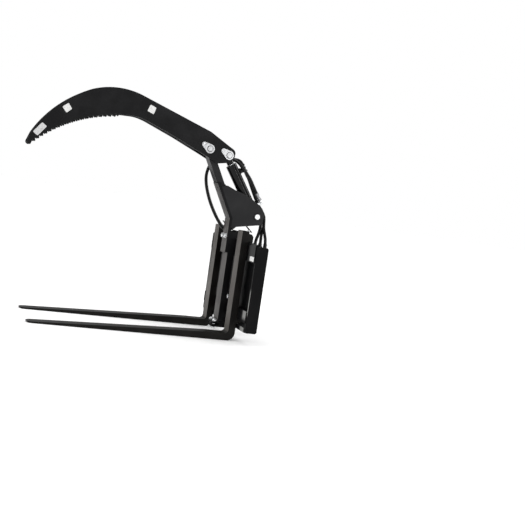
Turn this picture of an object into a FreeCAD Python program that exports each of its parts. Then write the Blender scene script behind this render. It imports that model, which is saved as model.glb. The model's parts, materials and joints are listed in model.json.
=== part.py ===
import FreeCAD, Part
import math
import os
from FreeCAD import Placement, Rotation, Vector

# Pallet fork grapple, in millimetres.
# +Y points back to the loader, -Y along the forks, +X to the right seen from behind, +Z up.
# Outlines are drawn from the ground under the shanks' front faces, midway between the forks.
# The finished pieces are set back by frame_shift, so the origin is under the middle of the part.

doc = FreeCAD.newDocument("pallet_fork_grapple")
sheet = doc.addObject("Spreadsheet::Sheet", "Sizes")

DRIVING = [
    ("frame_shift", 468.5),
    # forks
    ("fork_width", 80), ("fork_thick", 40), ("tip_thick", 8), ("tip_edge", 5), ("tip_bevel", 18),
    ("blade_length", 1100), ("fork_top", 620), ("fork_offset", 224), ("heel_inner", 20),
    ("heel_outer", 45), ("taper_start", 120), ("tip_corner", 30),
    # fork hooks
    ("hook_width", 74), ("hook_clear", 1.5), ("hook_reach", 28), ("tongue_depth", 15),
    ("hook_height", 46), ("hook_chamfer", 12), ("slide_gap", 0.5), ("lower_hook_height", 21),
    ("tongue_clear", 1),
    # crossbars
    ("bar_thick", 30), ("lip_thick", 16), ("lip_height", 16), ("bar_half", 408),
    ("upper_bar_low", 460), ("upper_bar_high", 560), ("lower_bar_low", 125),
    ("lower_bar_high", 190), ("notch_pitch", 45), ("notch_width", 15), ("notch_depth", 12),
    # coupling frame
    ("side_thick", 12), ("side_front", 43), ("side_back", 110), ("side_low", 74),
    ("side_high", 550), ("side_corner", 8), ("upright_x", 212), ("upright_thick", 12),
    ("back_thick", 8), ("window_half", 181), ("window_high", 222), ("window_clear", 5),
    ("hook_tube_radius", 14), ("hook_tube_wall", 5), ("hook_tube_y", 96), ("hook_tube_z", 425),
    ("foot_low", 74), ("foot_thick", 24), ("foot_inset", 2), ("foot_notch_clear", 3),
    ("lock_bore_radius", 14), ("lock_bore_x", 150), ("lock_bore_y", 89),
    # fork lock
    ("lock_pin_radius", 6), ("lock_pin_clear", 0.1), ("lock_stand", 0.5), ("lock_top", 627),
    ("handle_width", 14), ("handle_thick", 5), ("handle_front", 24), ("handle_back", 22),
    ("handle_angle", 42), ("handle_rise", 3), ("lock_head_radius", 8), ("lock_head_height", 5),
    ("lock_head_clear", 0.01),
    # mast foot
    ("mast_width", 90), ("mast_depth", 40), ("mast_wall", 6), ("mast_low", 66), ("mast_high", 600),
    ("foot_plate_thick", 10), ("foot_plate_reach", 30), ("clamp_low", 36), ("clamp_lip", 14),
    ("clamp_step", 14),
    ("ear_reach", 45), ("ear_thick", 12), ("ear_low", 203), ("ear_high", 245),
    ("backing_thick", 10), ("backing_low", 150),
    # upper mast
    ("strap_thick", 16), ("strap_low", 475), ("bend_z", 672.5), ("lean", 28), ("strap_run", 215),
    ("tube_width", 70), ("tube_depth", 40), ("tube_wall", 6), ("tube_start", 60),
    ("pivot_run", 414), ("cheek_thick", 10), ("floor_thick", 8), ("boss_radius", 28),
    ("bush_radius", 19), ("floor_end", 120), ("strap_bolt_z", 570), ("strap_bolt_x", 25),
    # fasteners
    ("bolt_radius", 8), ("bolt_flats", 24), ("bolt_head", 10), ("nut_height", 13),
    ("washer_radius", 15), ("washer_thick", 3), ("bolt_clear", 0.3), ("thread_stand", 4),
    ("foot_bolt_x", 28), ("ear_bolt_x", 70),
    # claw
    ("claw_gap", 40), ("claw_plate", 10), ("flange_thick", 8), ("tooth_pitch", 24.5),
    ("tooth_depth", 10), ("tooth_crest", 0.14), ("tooth_root", 1.5),
    ("tooth_start_y", -1166), ("tooth_start_z", 934),
    ("tooth_middle_y", -1002), ("tooth_middle_z", 1056), ("tooth_end_y", -724),
    ("tooth_end_z", 1148), ("spacer_radius", 16), ("spacer_wall", 4),
    # pins
    ("pin_radius", 15), ("pin_clear", 0.05), ("flag_radius", 26), ("flag_lobe", 14),
    ("flag_offset", 42), ("flag_angle", 151), ("flag_thick", 6), ("pin_stand", 4),
    ("flag_bolt_radius", 5), ("flag_bolt_clear", 0.2), ("flag_bolt_flats", 16),
    ("flag_bolt_head", 7), ("side_clear", 0.3), ("ring_clear", 0.2), ("base_bush_wall", 5),
    ("rod_pin_y", -75), ("rod_pin_z", 1028), ("base_pin_y", 148), ("base_pin_z", 702),
    ("snap_ring_width", 5), ("ring_wall", 4),
    # cylinder
    ("barrel_radius", 31.5), ("bore_radius", 25), ("base_cap", 14), ("lug_radius", 26),
    ("lug_width", 40), ("barrel_low", 34), ("barrel_high", 300), ("gland_high", 332),
    ("gland_plug", 20), ("rod_radius", 15), ("rod_seat", 6), ("piston_gap", 3),
    ("piston_height", 28),
    ("neck_radius", 20), ("neck_low", 338), ("eye_radius", 29), ("eye_tail_radius", 23),
    ("eye_width", 40), ("slot_length", 22), ("slot_radius", 17.4), ("slot_drop", 2),
    ("seal_height", 5), ("seal_depth", 4), ("seal_squeeze", 0.02),
    # ports and hoses
    ("hose_radius", 9), ("ferrule_radius", 11.5), ("port_low", 57), ("port_high", 282),
    ("port_reach", 66), ("port_radius", 9), ("port_bore", 4.05), ("corner_swell", 2),
    ("boss_wall", 4), ("boss_height", 8), ("boss_root", 3.15), ("seat_gap", 0.02),
    ("tee_half", 13), ("union_flats", 24),
    ("union_height", 11), ("ferrule_length", 38), ("base_port_x", 12), ("rod_port_x", -9),
    # multi connector
    ("connector_low", 468), ("connector_high", 520), ("connector_front", 160),
    ("connector_back", 256), ("connector_half", 22), ("collet_height", 12),
    ("strand_first", 176), ("strand_pitch", 32), ("holder_thick", 10), ("holder_leg", 68),
]


class Size:
    """A number together with the sheet expression that it comes from."""

    def __init__(self, value, text):
        self.value = float(value)
        self.text = text

    def __float__(self):
        return self.value

    def __add__(self, other):
        other = as_size(other)
        return Size(self.value + other.value, "(%s + %s)" % (self.text, other.text))

    def __sub__(self, other):
        other = as_size(other)
        return Size(self.value - other.value, "(%s - %s)" % (self.text, other.text))

    def __mul__(self, factor):
        return Size(self.value * factor, "(%s * %r)" % (self.text, float(factor)))

    def __neg__(self):
        return self * -1


def as_size(number):
    return number if isinstance(number, Size) else Size(number, repr(float(number)))


class Named:
    """The driving sizes by name."""


s = Named()
for row, (alias, number) in enumerate(DRIVING, start=1):
    sheet.set("A%d" % row, alias)
    sheet.set("B%d" % row, str(number))
    sheet.setAlias("B%d" % row, alias)
    setattr(s, alias, Size(number, "Sizes." + alias))
doc.recompute()

PARTS = []


# General helpers

def bind(obj, prop, number):
    obj.setExpression(prop, as_size(number).text)


def keep(obj, label):
    """Set a finished sub-part in the part's own frame and name it."""
    part = doc.addObject("Part::Compound", "part")
    part.Links = [obj]
    bind(part, "Placement.Base.y", s.frame_shift)
    part.Label = label
    PARTS.append(part)


def box(x_range, y_range, z_range):
    obj = doc.addObject("Part::Box", "block")
    for side, (low, high) in zip(("Length", "Width", "Height"), (x_range, y_range, z_range)):
        bind(obj, side, as_size(high) - low)
    for axis, (low, high) in zip("xyz", (x_range, y_range, z_range)):
        bind(obj, "Placement.Base." + axis, low)
    return obj


AXIS_TURN = {
    "x": Rotation(Vector(0, 1, 0), 90),
    "y": Rotation(Vector(1, 0, 0), -90),
    "z": Rotation(),
}


def place_along(obj, axis, x, y, z):
    obj.Placement = Placement(Vector(float(as_size(x)), float(as_size(y)), float(as_size(z))),
                              AXIS_TURN[axis])
    for name, number in zip("xyz", (x, y, z)):
        bind(obj, "Placement.Base." + name, number)
    return obj


def rod(axis, x, y, z, radius, length):
    """A cylinder that starts at a point and runs along a row axis."""
    obj = doc.addObject("Part::Cylinder", "rod")
    bind(obj, "Radius", radius)
    bind(obj, "Height", length)
    return place_along(obj, axis, x, y, z)


def hexagon(axis, x, y, z, flats, height):
    """A nut or bolt head, given by its width across flats."""
    obj = doc.addObject("Part::Prism", "hexagon")
    obj.Polygon = 6
    bind(obj, "Circumradius", as_size(flats) * (0.5 / math.cos(math.radians(30))))
    bind(obj, "Height", height)
    return place_along(obj, axis, x, y, z)


def cut(base, *tools):
    obj = doc.addObject("Part::Cut", "cut")
    obj.Base = base
    obj.Tool = tools[0] if len(tools) == 1 else fuse(*tools)
    return obj


def fuse(*pieces):
    obj = doc.addObject("Part::MultiFuse", "fuse")
    obj.Shapes = list(pieces)
    return obj


def common(first, second):
    obj = doc.addObject("Part::Common", "common")
    obj.Base = first
    obj.Tool = second
    return obj


def group(*pieces):
    """Separate solids that share one node."""
    obj = doc.addObject("Part::Compound", "group")
    obj.Links = list(pieces)
    return obj


def free_shape(shape):
    obj = doc.addObject("Part::Feature", "shape")
    obj.Shape = shape
    return obj


def moved(obj, place):
    obj.Placement = place
    return obj


def segments(outline):
    """Edges of a closed outline: a point is a corner, a pair (middle, end) is an arc."""
    edges = []
    start = outline[0]
    for item in list(outline[1:]) + [outline[0]]:
        if isinstance(item[0], tuple):
            middle, end = item
            edges.append(Part.Arc(flat(start), flat(middle), flat(end)))
        else:
            end = item
            edges.append(Part.LineSegment(flat(start), flat(end)))
        start = end
    return edges


def flat(point):
    return Vector(float(point[0]), float(point[1]), 0)


def padded(plane, outline, holes, length):
    """A body padded from a sketch on one of its own origin planes."""
    body = doc.addObject("PartDesign::Body", "body")
    sketch = body.newObject("Sketcher::SketchObject", "sketch")
    origin = [item for item in body.Origin.OriginFeatures if item.Role == plane][0]
    sketch.AttachmentSupport = [(origin, "")]
    sketch.MapMode = "FlatFace"
    sketch.addGeometry(segments(outline), False)
    for centre, radius in holes:
        sketch.addGeometry(Part.Circle(flat(centre), Vector(0, 0, 1), float(radius)), False)
    pad = body.newObject("PartDesign::Pad", "pad")
    pad.Profile = sketch
    bind(pad, "Length", length)
    sketch.Visibility = False
    return body


def plate_x(outline, x_low, x_high, holes=()):
    """A plate whose outline is given in Y and Z, between two X values."""
    body = padded("YZ_Plane", outline, holes, as_size(x_high) - x_low)
    bind(body, "Placement.Base.x", x_low)
    return body


def plate_z(outline, z_low, z_high, holes=()):
    body = padded("XY_Plane", outline, holes, as_size(z_high) - z_low)
    bind(body, "Placement.Base.z", z_low)
    return body


def turned(angle, y, z):
    """A vector in the Y-Z plane: y along the direction at this angle, z square to it."""
    a = math.radians(float(angle))
    return (math.cos(a) * float(y) - math.sin(a) * float(z),
            math.sin(a) * float(y) + math.cos(a) * float(z))


SIDES = (("near", 1), ("far", -1))


# Levels that several pieces share

bar_front = s.fork_thick + s.slide_gap
bar_back = bar_front + s.bar_thick
lip_back = bar_front + s.lip_thick
tongue_front = lip_back + s.tongue_clear
hook_back = s.fork_thick + s.hook_reach
upper_hook_low = s.upper_bar_high + s.hook_clear
lower_hook_high = s.lower_bar_low - s.hook_clear
lock_y = bar_front + s.lip_thick * 0.5
half_mast = s.mast_width * 0.5
half_tube = s.tube_width * 0.5
claw_outer = s.claw_gap + s.claw_plate


# Forks

def fork_profile():
    thick = float(s.fork_thick)
    length = float(s.blade_length)
    inner = float(s.heel_inner)
    outer = float(s.heel_outer)
    top = float(s.fork_top)
    bend = math.sqrt(0.5)
    return [
        (0, top),
        (0, thick + inner),
        ((-inner + inner * bend, thick + inner - inner * bend), (-inner, thick)),
        (-float(s.taper_start), thick),
        (-length, float(s.tip_thick)),
        (-length, float(s.tip_edge)),
        (-length + float(s.tip_bevel), 0),
        (thick - outer, 0),
        ((thick - outer + outer * bend, outer - outer * bend), (thick, outer)),
        (thick, top),
    ]


def fork_plan(centre):
    half = float(s.fork_width) / 2
    length = float(s.blade_length)
    corner = float(s.tip_corner)
    bend = corner * (1 - math.sqrt(0.5))
    return [
        (centre - half, float(s.fork_thick)),
        (centre - half, -length + corner),
        ((centre - half + bend, -length + bend), (centre - half + corner, -length)),
        (centre + half - corner, -length),
        ((centre + half - bend, -length + bend), (centre + half, -length + corner)),
        (centre + half, float(s.fork_thick)),
    ]


def upper_hook_outline():
    front = float(s.fork_thick)
    low = float(upper_hook_low)
    high = float(s.upper_bar_high + s.hook_height)
    drop = float(s.hook_chamfer)
    back = float(hook_back)
    return [
        (front, low),
        (float(tongue_front), low),
        (float(tongue_front), low - float(s.tongue_depth)),
        (back, low - float(s.tongue_depth)),
        (back, high - drop),
        (back - drop, high),
        (front, high),
    ]


def lower_hook_outline(low):
    front = float(s.fork_thick)
    high = float(lower_hook_high)
    back = float(hook_back)
    return [
        (front, low),
        (back - float(s.side_corner), low),
        (back, low + float(s.side_corner)),
        (back, high + float(s.tongue_depth)),
        (float(tongue_front), high + float(s.tongue_depth)),
        (float(tongue_front), high),
        (front, high),
    ]


for side, sign in SIDES:
    centre = s.fork_offset * sign
    x_low = centre - s.fork_width * 0.5
    x_high = centre + s.fork_width * 0.5
    profile = plate_x(fork_profile(), x_low, x_high)
    plan = plate_z(fork_plan(float(centre)), 0, s.fork_top)
    keep(common(profile, plan), "fork_" + side)

    hook_low_x = centre - s.hook_width * 0.5
    hook_high_x = centre + s.hook_width * 0.5
    upper = cut(plate_x(upper_hook_outline(), hook_low_x, hook_high_x),
                rod("z", centre, lock_y, s.upper_bar_high, s.lock_pin_radius + s.lock_pin_clear,
                    s.hook_height + 1))
    low = float(lower_hook_high - s.lower_hook_height)
    lower = plate_x(lower_hook_outline(low), hook_low_x, hook_high_x)
    keep(group(upper, lower), "fork_hooks_" + side)

    pin_low = s.upper_bar_high + s.hook_clear + s.lock_stand
    pin = rod("z", centre, lock_y, pin_low, s.lock_pin_radius, s.lock_top - pin_low)
    head = rod("z", centre, lock_y, s.lock_top - s.lock_head_height, s.lock_head_radius,
               s.lock_head_height)
    keep(fuse(pin, head), "fork_lock_pin_" + side)
    handle = doc.addObject("Part::Box", "handle")
    bind(handle, "Length", s.handle_width)
    bind(handle, "Width", s.handle_front + s.handle_back)
    bind(handle, "Height", s.handle_thick)
    turn = Rotation(Vector(1, 0, 0), -float(s.handle_angle))
    hold = Vector(float(centre), float(lock_y), float(s.lock_top + s.handle_rise))
    corner = Vector(-float(s.handle_width) / 2, -float(s.handle_front), -float(s.handle_thick) / 2)
    handle.Placement = Placement(hold + turn.multVec(corner), turn)
    keep(cut(handle, rod("z", centre, lock_y, s.lock_top - s.lock_head_height * 2,
                         s.lock_head_radius + s.lock_head_clear, s.lock_head_height * 2)),
         "fork_lock_handle_" + side)


# Crossbars

upper_block = box((-s.bar_half, s.bar_half), (bar_front, bar_back), (s.upper_bar_low, s.upper_bar_high))
cutters = [box((-s.bar_half - 1, s.bar_half + 1), (lip_back, bar_back + 1),
               (s.upper_bar_high - s.lip_height, s.upper_bar_high + 1))]
for side, sign in SIDES:
    for step in (-2, -1, 0, 1, 2):
        notch = s.fork_offset * sign + s.notch_pitch * step
        cutters.append(box((notch - s.notch_width * 0.5, notch + s.notch_width * 0.5),
                           (bar_front - 1, lip_back + 1),
                           (s.upper_bar_high - s.notch_depth, s.upper_bar_high + 1)))
keep(cut(upper_block, *cutters), "upper_crossbar")

lower_block = box((-s.bar_half, s.bar_half), (bar_front, bar_back), (s.lower_bar_low, s.lower_bar_high))
keep(cut(lower_block, box((-s.bar_half - 1, s.bar_half + 1), (lip_back, bar_back + 1),
                          (s.lower_bar_low - 1, s.lower_bar_low + s.lip_height))),
     "lower_crossbar")


# Coupling frame

def side_outline():
    front, back = float(s.side_front), float(s.side_back)
    low, high, corner = float(s.side_low), float(s.side_high), float(s.side_corner)
    return [
        (front, low + corner), (front + corner, low), (back - corner, low), (back, low + corner),
        (back, high - corner), (back - corner, high), (front, high),
    ]


side_plates = []
uprights = []
gussets = []
hook_tubes = []
for side, sign in SIDES:
    ends = sorted([s.bar_half * sign, (s.bar_half + s.side_thick) * sign], key=float)
    side_plates.append(plate_x(side_outline(), *ends))
    middle = s.upright_x * sign
    x_range = (middle - s.upright_thick * 0.5, middle + s.upright_thick * 0.5)
    uprights.append(box(x_range, (bar_back, s.side_back), (s.lower_bar_high, s.upper_bar_low)))
    gussets.append(box(x_range, (bar_back, s.side_back),
                       (s.foot_low + s.foot_thick, s.lower_bar_high)))
    inner, outer = sorted([(s.upright_x + s.upright_thick * 0.5) * sign, s.bar_half * sign],
                          key=float)
    hook_tubes.append(cut(rod("x", inner, s.hook_tube_y, s.hook_tube_z, s.hook_tube_radius,
                              outer - inner),
                          rod("x", inner - 1, s.hook_tube_y, s.hook_tube_z,
                              s.hook_tube_radius - s.hook_tube_wall, outer - inner + 2)))
keep(group(*side_plates), "side_plates")
keep(group(*uprights), "coupling_uprights")
keep(group(*gussets), "foot_gussets")
keep(group(*hook_tubes), "coupling_hook_tubes")

back_front = bar_back - s.back_thick
back_plate = box((-s.bar_half, s.bar_half), (back_front, bar_back),
                 (s.lower_bar_high, s.upper_bar_low))
window = box((-s.window_half, s.window_half), (back_front - 1, bar_back + 1),
             (s.lower_bar_high - 1, s.window_high))
mast_window_half = half_mast + s.ear_reach + s.window_clear
mast_window = box((-mast_window_half, mast_window_half),
                  (back_front - 1, bar_back + 1),
                  (s.lower_bar_high - 1, s.ear_high + s.window_clear))
keep(cut(back_plate, window, mast_window), "back_plate")

foot = box((-s.bar_half, s.bar_half), (s.side_front, s.side_back - s.foot_inset),
           (s.foot_low, s.foot_low + s.foot_thick))
foot_notch_half = half_mast + s.foot_notch_clear
foot_notch = box((-foot_notch_half, foot_notch_half),
                 (s.side_front - 1, hook_back + s.foot_notch_clear),
                 (s.foot_low - 1, s.foot_low + s.foot_thick + 1))
lock_bores = [rod("z", s.lock_bore_x * sign, s.lock_bore_y, s.foot_low - 1, s.lock_bore_radius,
                  s.foot_thick + 2) for side, sign in SIDES]
keep(cut(foot, foot_notch, *lock_bores), "coupling_foot_bar")


# Mast foot

mast = cut(box((-half_mast, half_mast), (0, s.mast_depth), (s.mast_low, s.mast_high)),
           box((-half_mast + s.mast_wall, half_mast - s.mast_wall),
               (s.mast_wall, s.mast_depth - s.mast_wall), (s.mast_low - 1, s.mast_high + 1)),
           *[rod("y", s.strap_bolt_x * sign, -1, s.strap_bolt_z, s.bolt_radius + s.bolt_clear,
                 s.mast_wall + 2) for side, sign in SIDES])
keep(mast, "mast_lower_tube")
keep(plate_x(upper_hook_outline(), -half_mast, half_mast), "mast_upper_hook")

foot_bolt_y = -s.foot_plate_reach * 0.5
foot_holes = [rod("z", s.foot_bolt_x * sign, foot_bolt_y, s.mast_low - s.foot_plate_thick - 1,
                  s.bolt_radius + s.bolt_clear, s.foot_plate_thick + 2) for side, sign in SIDES]
keep(cut(box((-half_mast, half_mast), (-s.foot_plate_reach, s.mast_depth),
             (s.mast_low - s.foot_plate_thick, s.mast_low)), *foot_holes),
     "mast_foot_plate")


def clamp_outline():
    low = float(s.clamp_low)
    lip = low + float(s.clamp_lip)
    front = -float(s.foot_plate_reach)
    step = float(s.clamp_step)
    under = float(s.mast_low - s.foot_plate_thick)
    high = float(lower_hook_high)
    tongue = float(tongue_front)
    back = float(hook_back)
    return [
        (front, low), (back, low), (back, high + float(s.tongue_depth)),
        (tongue, high + float(s.tongue_depth)), (tongue, high), (float(bar_front), high),
        (float(bar_front), under), (step, under), (step, lip), (front, lip),
    ]


clamp_holes = [rod("z", s.foot_bolt_x * sign, foot_bolt_y, s.clamp_low - 1,
                   s.bolt_radius + s.bolt_clear, s.clamp_lip + 2) for side, sign in SIDES]
keep(cut(plate_x(clamp_outline(), -half_mast, half_mast), *clamp_holes), "mast_clamp_block")


def bolt(axis, x, y, z, run):
    """A bolt whose head rests at the given level and whose nut rests after its run."""
    x, y, z = as_size(x), as_size(y), as_size(z)
    shift = {"y": (0, 1, 0), "z": (0, 0, 1), "x": (1, 0, 0)}[axis]

    def at(distance):
        distance = as_size(distance)
        return (x + distance * shift[0], y + distance * shift[1], z + distance * shift[2])

    head = hexagon(axis, *at(-s.bolt_head - s.washer_thick), s.bolt_flats, s.bolt_head)
    head_washer = rod(axis, *at(-s.washer_thick), s.washer_radius, s.washer_thick)
    shank = rod(axis, *at(-s.washer_thick), s.bolt_radius, as_size(run) + s.washer_thick
                + s.nut_height + s.thread_stand)
    nut = hexagon(axis, *at(run), s.bolt_flats, s.nut_height)
    return fuse(head, head_washer, shank, nut)


foot_bolts = [bolt("z", s.foot_bolt_x * sign, foot_bolt_y, s.clamp_low, s.mast_low - s.clamp_low)
              for side, sign in SIDES]

clamp_reach = half_mast + s.ear_reach
ear_bolt_z = (s.ear_low + s.ear_high) * 0.5
backing_back = bar_back + s.backing_thick


def clamp_plate(front, thick, low):
    """A plate across the mast with a hole for each of the two clamp bolts."""
    holes = [rod("y", s.ear_bolt_x * sign, front - 1, ear_bolt_z, s.bolt_radius + s.bolt_clear,
                 thick + 2) for side, sign in SIDES]
    return cut(box((-clamp_reach, clamp_reach), (front, front + thick), (low, s.ear_high)), *holes)


keep(clamp_plate(s.mast_depth, s.ear_thick, s.ear_low), "mast_clamp_ears")
keep(clamp_plate(bar_back, s.backing_thick, s.backing_low), "mast_backing_plate")
ear_bolts = [bolt("y", s.ear_bolt_x * sign, s.mast_depth, ear_bolt_z, backing_back - s.mast_depth)
             for side, sign in SIDES]


# Upper mast: everything on the leaning line is given by a run along it and a depth behind it

lean = math.radians(float(s.lean))
bend = (-float(s.strap_thick), float(s.bend_z))


def leaning(run, depth):
    run, depth = float(run), float(depth)
    return (bend[0] - math.sin(lean) * run + math.cos(lean) * depth,
            bend[1] + math.cos(lean) * run + math.sin(lean) * depth)


def behind_strap(y):
    """Height at which the back face of the leaning strap passes a Y value."""
    y_back, z_back = leaning(0, s.strap_thick)
    return z_back + (y_back - y) / math.tan(lean)


pivot = leaning(s.pivot_run, s.tube_depth * 0.5)
rod_pin = (float(s.rod_pin_y), float(s.rod_pin_z))
base_pin = (float(s.base_pin_y), float(s.base_pin_z))

strap_outline = [
    (bend[0], float(s.strap_low)), bend, leaning(s.strap_run, 0),
    leaning(s.strap_run, s.strap_thick), (0, behind_strap(0)), (0, float(s.strap_low)),
]
strap_holes = [rod("y", s.strap_bolt_x * sign, -s.strap_thick - 1, s.strap_bolt_z,
                   s.bolt_radius + s.bolt_clear, s.strap_thick + 2) for side, sign in SIDES]
keep(cut(plate_x(strap_outline, -half_mast, half_mast), *strap_holes), "mast_front_strap")

strap_bolts = [bolt("y", s.strap_bolt_x * sign, -s.strap_thick, s.strap_bolt_z,
                    s.strap_thick + s.mast_wall) for side, sign in SIDES]
keep(group(*foot_bolts, *ear_bolts, *strap_bolts), "mast_bolts")

tube_outline = [
    leaning(s.tube_start, s.strap_thick), leaning(s.strap_run, s.strap_thick),
    leaning(s.strap_run, 0), leaning(s.pivot_run, 0), leaning(s.pivot_run, s.tube_depth),
    leaning(s.tube_start, s.tube_depth),
]
wall = float(s.tube_wall)
hollow_outline = [
    leaning(s.tube_start - 1, float(s.strap_thick) + wall),
    leaning(float(s.strap_run) + wall, float(s.strap_thick) + wall),
    leaning(float(s.strap_run) + wall, wall),
    leaning(float(s.pivot_run) + 1, wall),
    leaning(float(s.pivot_run) + 1, float(s.tube_depth) - wall),
    leaning(s.tube_start - 1, float(s.tube_depth) - wall),
]
boss_space = rod("x", -half_tube - 1, pivot[0], pivot[1], s.boss_radius, s.tube_width + 2)
keep(cut(plate_x(tube_outline, -half_tube, half_tube),
         plate_x(hollow_outline, -half_tube + s.tube_wall, half_tube - s.tube_wall), boss_space),
     "mast_upper_tube")
keep(cut(rod("x", -half_tube, pivot[0], pivot[1], s.boss_radius, s.tube_width),
         rod("x", -half_tube - 1, pivot[0], pivot[1], s.bush_radius, s.tube_width + 2)),
     "mast_head_boss")
bush_half = s.claw_gap - s.side_clear
keep(cut(rod("x", -bush_half, pivot[0], pivot[1], s.bush_radius, bush_half * 2),
         rod("x", -bush_half - 1, pivot[0], pivot[1], s.pin_radius + s.pin_clear,
             bush_half * 2 + 2)),
     "claw_pivot_bush")

cheek_heel, cheek_back = (36, 629.5), (172, 655.5)
cheek_outline = [
    (0, 618), cheek_heel, cheek_back, ((184, 661), (188, 673)), (190, 698),
    ((181, 742), (150, 772)), (116, 793), (50, 823), (-7, 838), (-52, 856),
    (-64, 857), (-90, behind_strap(-90)), (0, behind_strap(0)),
]
pin_hole = s.pin_radius + s.pin_clear
cheeks = []
for side, sign in SIDES:
    ends = sorted([half_tube * sign, (half_tube + s.cheek_thick) * sign], key=float)
    cheeks.append(plate_x(cheek_outline, *ends, holes=[(base_pin, pin_hole)]))
keep(group(*cheeks), "bracket_cheeks")


def above_heel(y, height):
    """A point over the cheeks' lower edge, square to it."""
    slope = (cheek_back[1] - cheek_heel[1]) / (cheek_back[0] - cheek_heel[0])
    return (y - slope * height, cheek_heel[1] + slope * (y - cheek_heel[0]) + height)


thick = float(s.floor_thick)
end = float(s.floor_end)
floor_outline = [cheek_heel, above_heel(end, 0), above_heel(end, thick),
                 above_heel(cheek_heel[0], thick)]
keep(plate_x(floor_outline, -half_tube, half_tube), "bracket_floor")


# Claw

TOOTH_RUN = [(float(s.tooth_start_y), float(s.tooth_start_z)),
             (float(s.tooth_middle_y), float(s.tooth_middle_z)),
             (float(s.tooth_end_y), float(s.tooth_end_z))]


def circle_through(points):
    arc = Part.Arc(*[flat(p) for p in points]).toShape().Curve
    return (arc.Center.x, arc.Center.y), arc.Radius


def tooth_points():
    """Corners of the toothed edge, from the arm towards the tip."""
    centre, radius = circle_through(TOOTH_RUN)
    first = math.atan2(TOOTH_RUN[2][1] - centre[1], TOOTH_RUN[2][0] - centre[0])
    last = math.atan2(TOOTH_RUN[0][1] - centre[1], TOOTH_RUN[0][0] - centre[0])
    if last < first:
        last += 2 * math.pi
    count = round((last - first) * radius / float(s.tooth_pitch))
    step = (last - first) / count
    depth = float(s.tooth_depth)
    crest = float(s.tooth_crest)
    root = float(s.tooth_root)
    items = []

    def at(angle, distance):
        return (centre[0] + math.cos(angle) * distance, centre[1] + math.sin(angle) * distance)

    for index in range(count):
        angle = first + step * index
        items.append(at(angle + step * crest, radius + depth / 2))
        items.append(at(angle + step * (0.5 - crest), radius - depth / 2))
        items.append((at(angle + step * 0.5, radius - depth / 2 - root),
                      at(angle + step * (0.5 + crest), radius - depth / 2)))
        items.append(at(angle + step * (1 - crest), radius + depth / 2))
    return items


outer_edge = [
    (-1174, 918), ((-1190, 922), (-1193, 938)), (-1176, 985),
    ((-1050, 1151), (-888, 1262)), ((-755, 1293), (-616, 1277)),
    (-200, 1143), (-62, 1069), ((-44, 1056), (-39, 1044)), (-42, 1010), (-82, 983),
    (-137, 972), (-210, 1004), (-397, 1080), (-567, 1142),
    ((-610, 1153), (-652, 1156)),
]
claw_outline = outer_edge + tooth_points()
claw_holes = [(pivot, pin_hole), (rod_pin, pin_hole)]


def flag_bolt_at(centre, angle):
    y, z = turned(angle, s.flag_offset, 0)
    return (centre[0] + y, centre[1] + z)


flag_bolts = [flag_bolt_at(centre, s.flag_angle) for centre in (pivot, rod_pin)]
flag_bolt_holes = [(centre, s.flag_bolt_radius + s.flag_bolt_clear) for centre in flag_bolts]
keep(plate_x(claw_outline, s.claw_gap, claw_outer, holes=claw_holes + flag_bolt_holes),
     "claw_plate_near")
keep(plate_x(claw_outline, -claw_outer, -s.claw_gap, holes=claw_holes), "claw_plate_far")


def strip_below(points, thickness):
    """A strip that follows points and lies square below them."""
    under = []
    for index, (y, z) in enumerate(points):
        before = points[max(index - 1, 0)]
        after = points[min(index + 1, len(points) - 1)]
        angle = math.atan2(after[1] - before[1], after[0] - before[0])
        under.append((y + math.sin(angle) * thickness, z - math.cos(angle) * thickness))
    return points + under[::-1]


flange = float(s.flange_thick)
upper_run = [(-1100, 1090), (-1050, 1142), (-975, 1204), (-888, 1252), (-800, 1278),
             (-710, 1284), (-616, 1268), (-200, 1134)]
lower_run = [(-652, 1167), (-610, 1164), (-567, 1153), (-397, 1091), (-262, 1036)]
keep(group(plate_x(strip_below(upper_run, flange), -s.claw_gap, s.claw_gap),
           plate_x(strip_below(lower_run, flange), -s.claw_gap, s.claw_gap)), "claw_flanges")

spacer_places = [(-1120, 1010), (-985, 1130), (-800, 1200)]
spacers = [cut(rod("x", -s.claw_gap, y, z, s.spacer_radius, s.claw_gap * 2),
               rod("x", -s.claw_gap - 1, y, z, s.spacer_radius - s.spacer_wall,
                   s.claw_gap * 2 + 2))
           for y, z in spacer_places]
keep(group(*spacers), "claw_spacer_tubes")


# Pins

def flag_outline(centre, angle):
    """A teardrop: a large round, a small round and the two lines that touch both."""
    big, small, offset = float(s.flag_radius), float(s.flag_lobe), float(s.flag_offset)
    spread = math.acos((big - small) / offset)
    base = math.radians(float(angle))
    lobe = (centre[0] + math.cos(base) * offset, centre[1] + math.sin(base) * offset)

    def on(around, radius, direction):
        return (around[0] + math.cos(direction) * radius, around[1] + math.sin(direction) * radius)

    return [
        on(centre, big, base + spread),
        (on(centre, big, base + math.pi), on(centre, big, base - spread)),
        on(lobe, small, base - spread),
        (on(lobe, small, base), on(lobe, small, base + spread)),
    ]


def flagged_pin(centre, label):
    start = -claw_outer - s.flag_thick - s.pin_stand
    end = claw_outer + s.flag_thick + s.pin_stand
    shaft = rod("x", start, centre[0], centre[1], s.pin_radius, end - start)
    plate = plate_x(flag_outline(centre, s.flag_angle), claw_outer, claw_outer + s.flag_thick,
                    holes=[(flag_bolt_at(centre, s.flag_angle), s.flag_bolt_radius + s.flag_bolt_clear)])
    keep(fuse(shaft, plate), label)


def end_ring(x_low, centre, width):
    return cut(rod("x", x_low, centre[0], centre[1], s.pin_radius + s.ring_wall, width),
               rod("x", x_low - 1, centre[0], centre[1], s.pin_radius, width + 2))


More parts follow.
